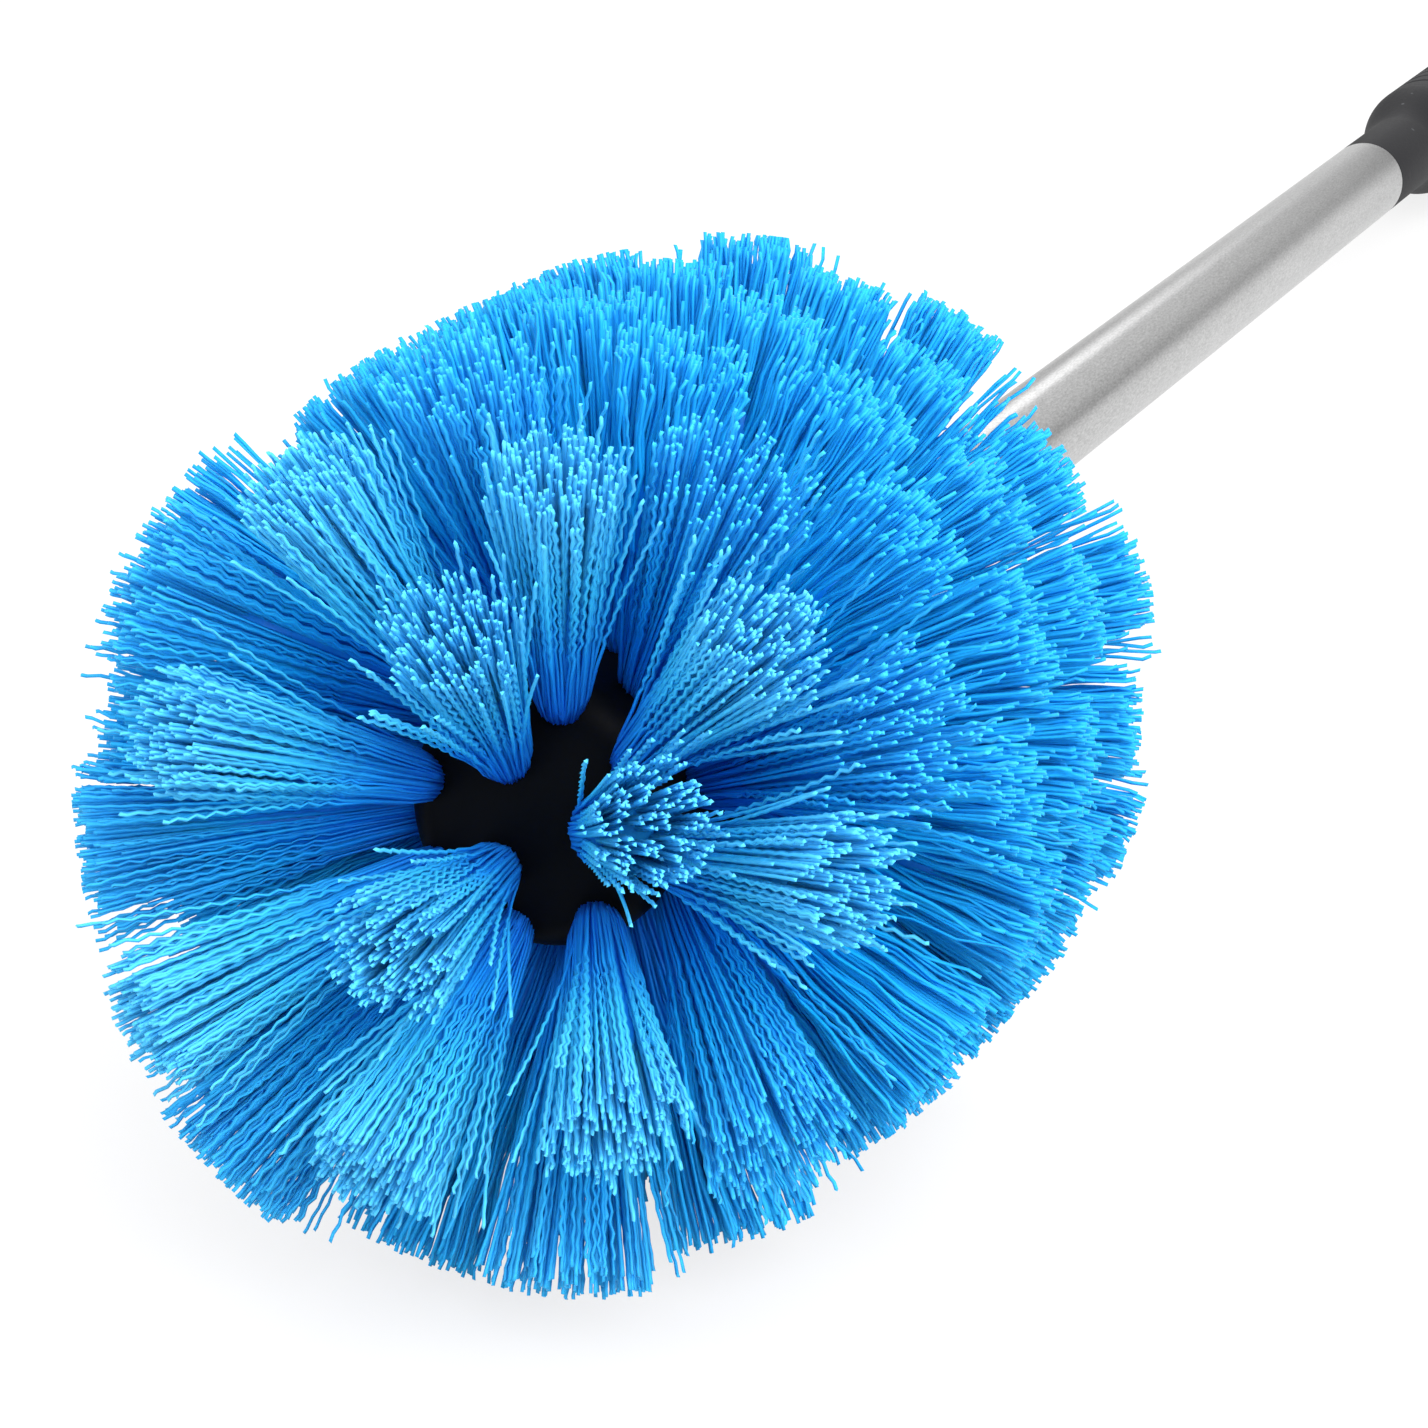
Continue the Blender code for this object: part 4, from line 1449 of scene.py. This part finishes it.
    def dress(self, node: str, material: bpy.types.Material) -> None:
        """Give a solid of the frame its finish.

        Args:
            node: The solid.
            material: The finish.
        """
        solid = frame["nodes"][node]
        solid.data.materials.clear()
        solid.data.materials.append(material)
        LOG.info("%s: dressed with %s", node, material.name)

    def smooth_copy(self, node: str, material: bpy.types.Material, body: Body) -> None:
        """Stand a merged and smoothly shaded copy in the place of a solid.

        Args:
            node: The solid.
            material: Finish of the copy.
            body: The body that it rides on.
        """
        solid = frame["nodes"][node]
        coords = np.empty(len(solid.data.vertices) * 3, np.float32)
        solid.data.vertices.foreach_get("co", coords)
        solid.data.calc_loop_triangles()
        corners = np.empty(len(solid.data.loop_triangles) * 3, np.int32)
        solid.data.loop_triangles.foreach_get("vertices", corners)
        unique, index = np.unique(np.round(coords.reshape(-1, 3), 7), axis=0, return_inverse=True)
        triangles = index.reshape(-1)[corners].reshape(-1, 3)
        grid = Grid(unique, np.zeros((0, 4), int), triangles)
        mesh = mesh_from_grid(f"{node}_finished", grid)
        mesh.set_sharp_from_angle(angle=self.solid_crease)
        place_piece(mesh, material, body, [node])

    def build(self) -> None:
        """Make the handle and dress the small pieces."""
        self.build_tube()
        self.build_grip()
        steel, tip = self.steel_finish.build(), self.tip_finish.build()
        self.smooth_copy("hang_cap", tip, Body.HANDLE)
        self.smooth_copy("thread_tip", tip, Body.HANDLE)
        self.smooth_copy("tip_rivet_left", steel, Body.HANDLE)
        self.smooth_copy("tip_rivet_right", steel, Body.HANDLE)
        self.smooth_copy("thrust_washer", steel, Body.WASHER)
        for node in sorted(frame["nodes"]):
            if node.startswith("anchor_staple"):
                self.dress(node, steel)


# Studio

@dataclass(frozen=True)
class Lamp:
    """Soft square lamp.

    Attributes:
        name: Name of the lamp.
        place: Its place in the row frame.
        power: Power in watts.
        size: Side of the square.
    """

    name: str
    place: tuple[float, float, float]
    power: float
    size: float


@dataclass
class Studio:
    """Camera, floor, lights and world."""

    focal_length: float = 126.05
    sensor: float = 36.0
    eye: tuple[float, float, float] = (-0.64857, -0.22683, -0.25062)
    sight: tuple[float, float, float] = (0.90466, 0.28987, 0.31235)
    far_limit: float = 50.0
    floor_size: float = 8.0
    floor_drop: float = 0.0004
    floor_roughness: float = 0.9
    floor_glow: float = 1.02
    world_light: float = 1.28
    shadow_share: float = 0.25
    floor_shown: Color = (0.86, 0.86, 0.86)
    floor_bounce: Color = (0.45, 0.45, 0.45)
    wall_foot: Color = (0.10, 0.10, 0.10)
    wall_middle: Color = (0.70, 0.70, 0.70)
    wall_places: tuple[float, float, float] = (0.03, 0.11, 0.26)
    lamps: tuple[Lamp, ...] = (Lamp("key_lamp", (-1.4, -1.3, 1.6), 60.0, 1.9),
                               Lamp("fill_lamp", (-1.5, 1.5, 1.0), 3.0, 1.6),
                               Lamp("back_lamp", (2.7, 0.6, 0.95), 1.9, 0.5))
    lamp_aim: float = 0.03

    def in_brush_frame(self, value: tuple[float, float, float]) -> np.ndarray:
        """Vector given along the brush, down from it and to its side, in the row frame."""
        return value[0] * AXIS.back + value[1] * AXIS.down + value[2] * AXIS.side

    def build_camera(self) -> None:
        """Stand the camera where the photograph was taken from, level with the ground."""
        camera = bpy.data.cameras.new("photo_view")
        camera.lens = self.focal_length
        camera.sensor_width = self.sensor
        camera.clip_end = self.far_limit
        camera.dof.use_dof = False
        view = bpy.data.objects.new("photo_view", camera)
        view.location = Vector(AXIS.origin + self.in_brush_frame(self.eye))
        view.rotation_euler = Vector(self.in_brush_frame(self.sight)).to_track_quat('-Z', 'Y').to_euler()
        bpy.context.scene.collection.objects.link(view)
        bpy.context.scene.camera = view

    def seen_directly(self, sheet: NodeSheet) -> bpy.types.NodeSocket:
        """One where a surface is seen by the camera, in a reflection or through glass.

        Args:
            sheet: Sheet of the material or the world.

        Returns:
            The socket of that number.
        """
        path = sheet.add("ShaderNodeLightPath")
        seen = sheet.math('MAXIMUM', path.outputs["Is Camera Ray"], path.outputs["Is Glossy Ray"])
        return sheet.math('MAXIMUM', seen, path.outputs["Is Transmission Ray"])

    def build_floor(self) -> None:
        """Lay the pale floor, which shows white but for a light shadow."""
        half = self.floor_size / 2
        mesh = bpy.data.meshes.new("floor")
        mesh.from_pydata([(-half, -half, 0), (half, -half, 0), (half, half, 0), (-half, half, 0)], [],
                         [(0, 1, 2, 3)])
        floor = bpy.data.objects.new("floor", mesh)
        floor.location.z = -self.floor_drop
        bpy.context.scene.collection.objects.link(floor)
        material, sheet, shader = blank_material("floor_white")
        seen = self.seen_directly(sheet)
        sheet.feed(shader.inputs["Base Color"], sheet.mix(seen, self.floor_bounce, self.floor_shown))
        sheet.feed(shader.inputs["Roughness"], self.floor_roughness)
        sheet.feed(shader.inputs["Specular IOR Level"], 0.0)
        glow = sheet.add("ShaderNodeEmission", {"Strength": self.floor_glow})
        share = sheet.math('MULTIPLY', seen, 1.0 - self.shadow_share)
        shown = sheet.blend(share, shader.outputs[0], glow.outputs[0])
        sheet.feed(sheet.tree.nodes["Material Output"].inputs[0], shown)
        mesh.materials.append(material)

    def build_world(self) -> None:
        """Light evenly from all round, and show white where nothing stands."""
        world = bpy.data.worlds.new("studio_white")
        world.use_nodes = True
        bpy.context.scene.world = world
        sheet = NodeSheet(world.node_tree)
        light = world.node_tree.nodes["Background"]
        sheet.feed(light.inputs[0], WHITE)
        sheet.feed(light.inputs[1], self.world_light)
        coords = sheet.add("ShaderNodeTexCoord")
        split = sheet.add("ShaderNodeSeparateXYZ", {"Vector": coords.outputs["Generated"]})
        foot, middle, top = self.wall_places
        wall = sheet.ramp(split.outputs["Z"], [(0.0, self.wall_foot), (foot, self.wall_foot),
                                               (middle, self.wall_middle), (top, WHITE)])
        path = sheet.add("ShaderNodeLightPath")
        color = sheet.mix(path.outputs["Is Camera Ray"], wall, WHITE)
        shown = sheet.add("ShaderNodeBackground", {"Color": color, "Strength": 1.0})
        both = sheet.blend(self.seen_directly(sheet), light.outputs[0], shown.outputs[0])
        sheet.feed(world.node_tree.nodes["World Output"].inputs[0], both)

    def add_lamp(self, lamp: Lamp) -> None:
        """Add a lamp that faces the head.

        Args:
            lamp: The lamp.
        """
        light = bpy.data.lights.new(lamp.name, 'AREA')
        light.energy = lamp.power
        light.size = lamp.size
        holder = bpy.data.objects.new(lamp.name, light)
        holder.location = lamp.place
        aim = Vector(AXIS.point(self.lamp_aim)) - Vector(lamp.place)
        holder.rotation_euler = aim.to_track_quat('-Z', 'Y').to_euler()
        bpy.context.scene.collection.objects.link(holder)

    def build(self) -> None:
        """Make the whole studio."""
        self.build_camera()
        self.build_floor()
        self.build_world()
        for lamp in self.lamps:
            self.add_lamp(lamp)
        bpy.context.scene.view_settings.view_transform = 'Standard'


def main() -> None:
    """Build the studio, the head and the handle."""
    logging.basicConfig(level=logging.INFO, format="%(message)s")
    Studio().build()
    Head().build()
    Handle().build()


if __name__ == "__main__":
    main()
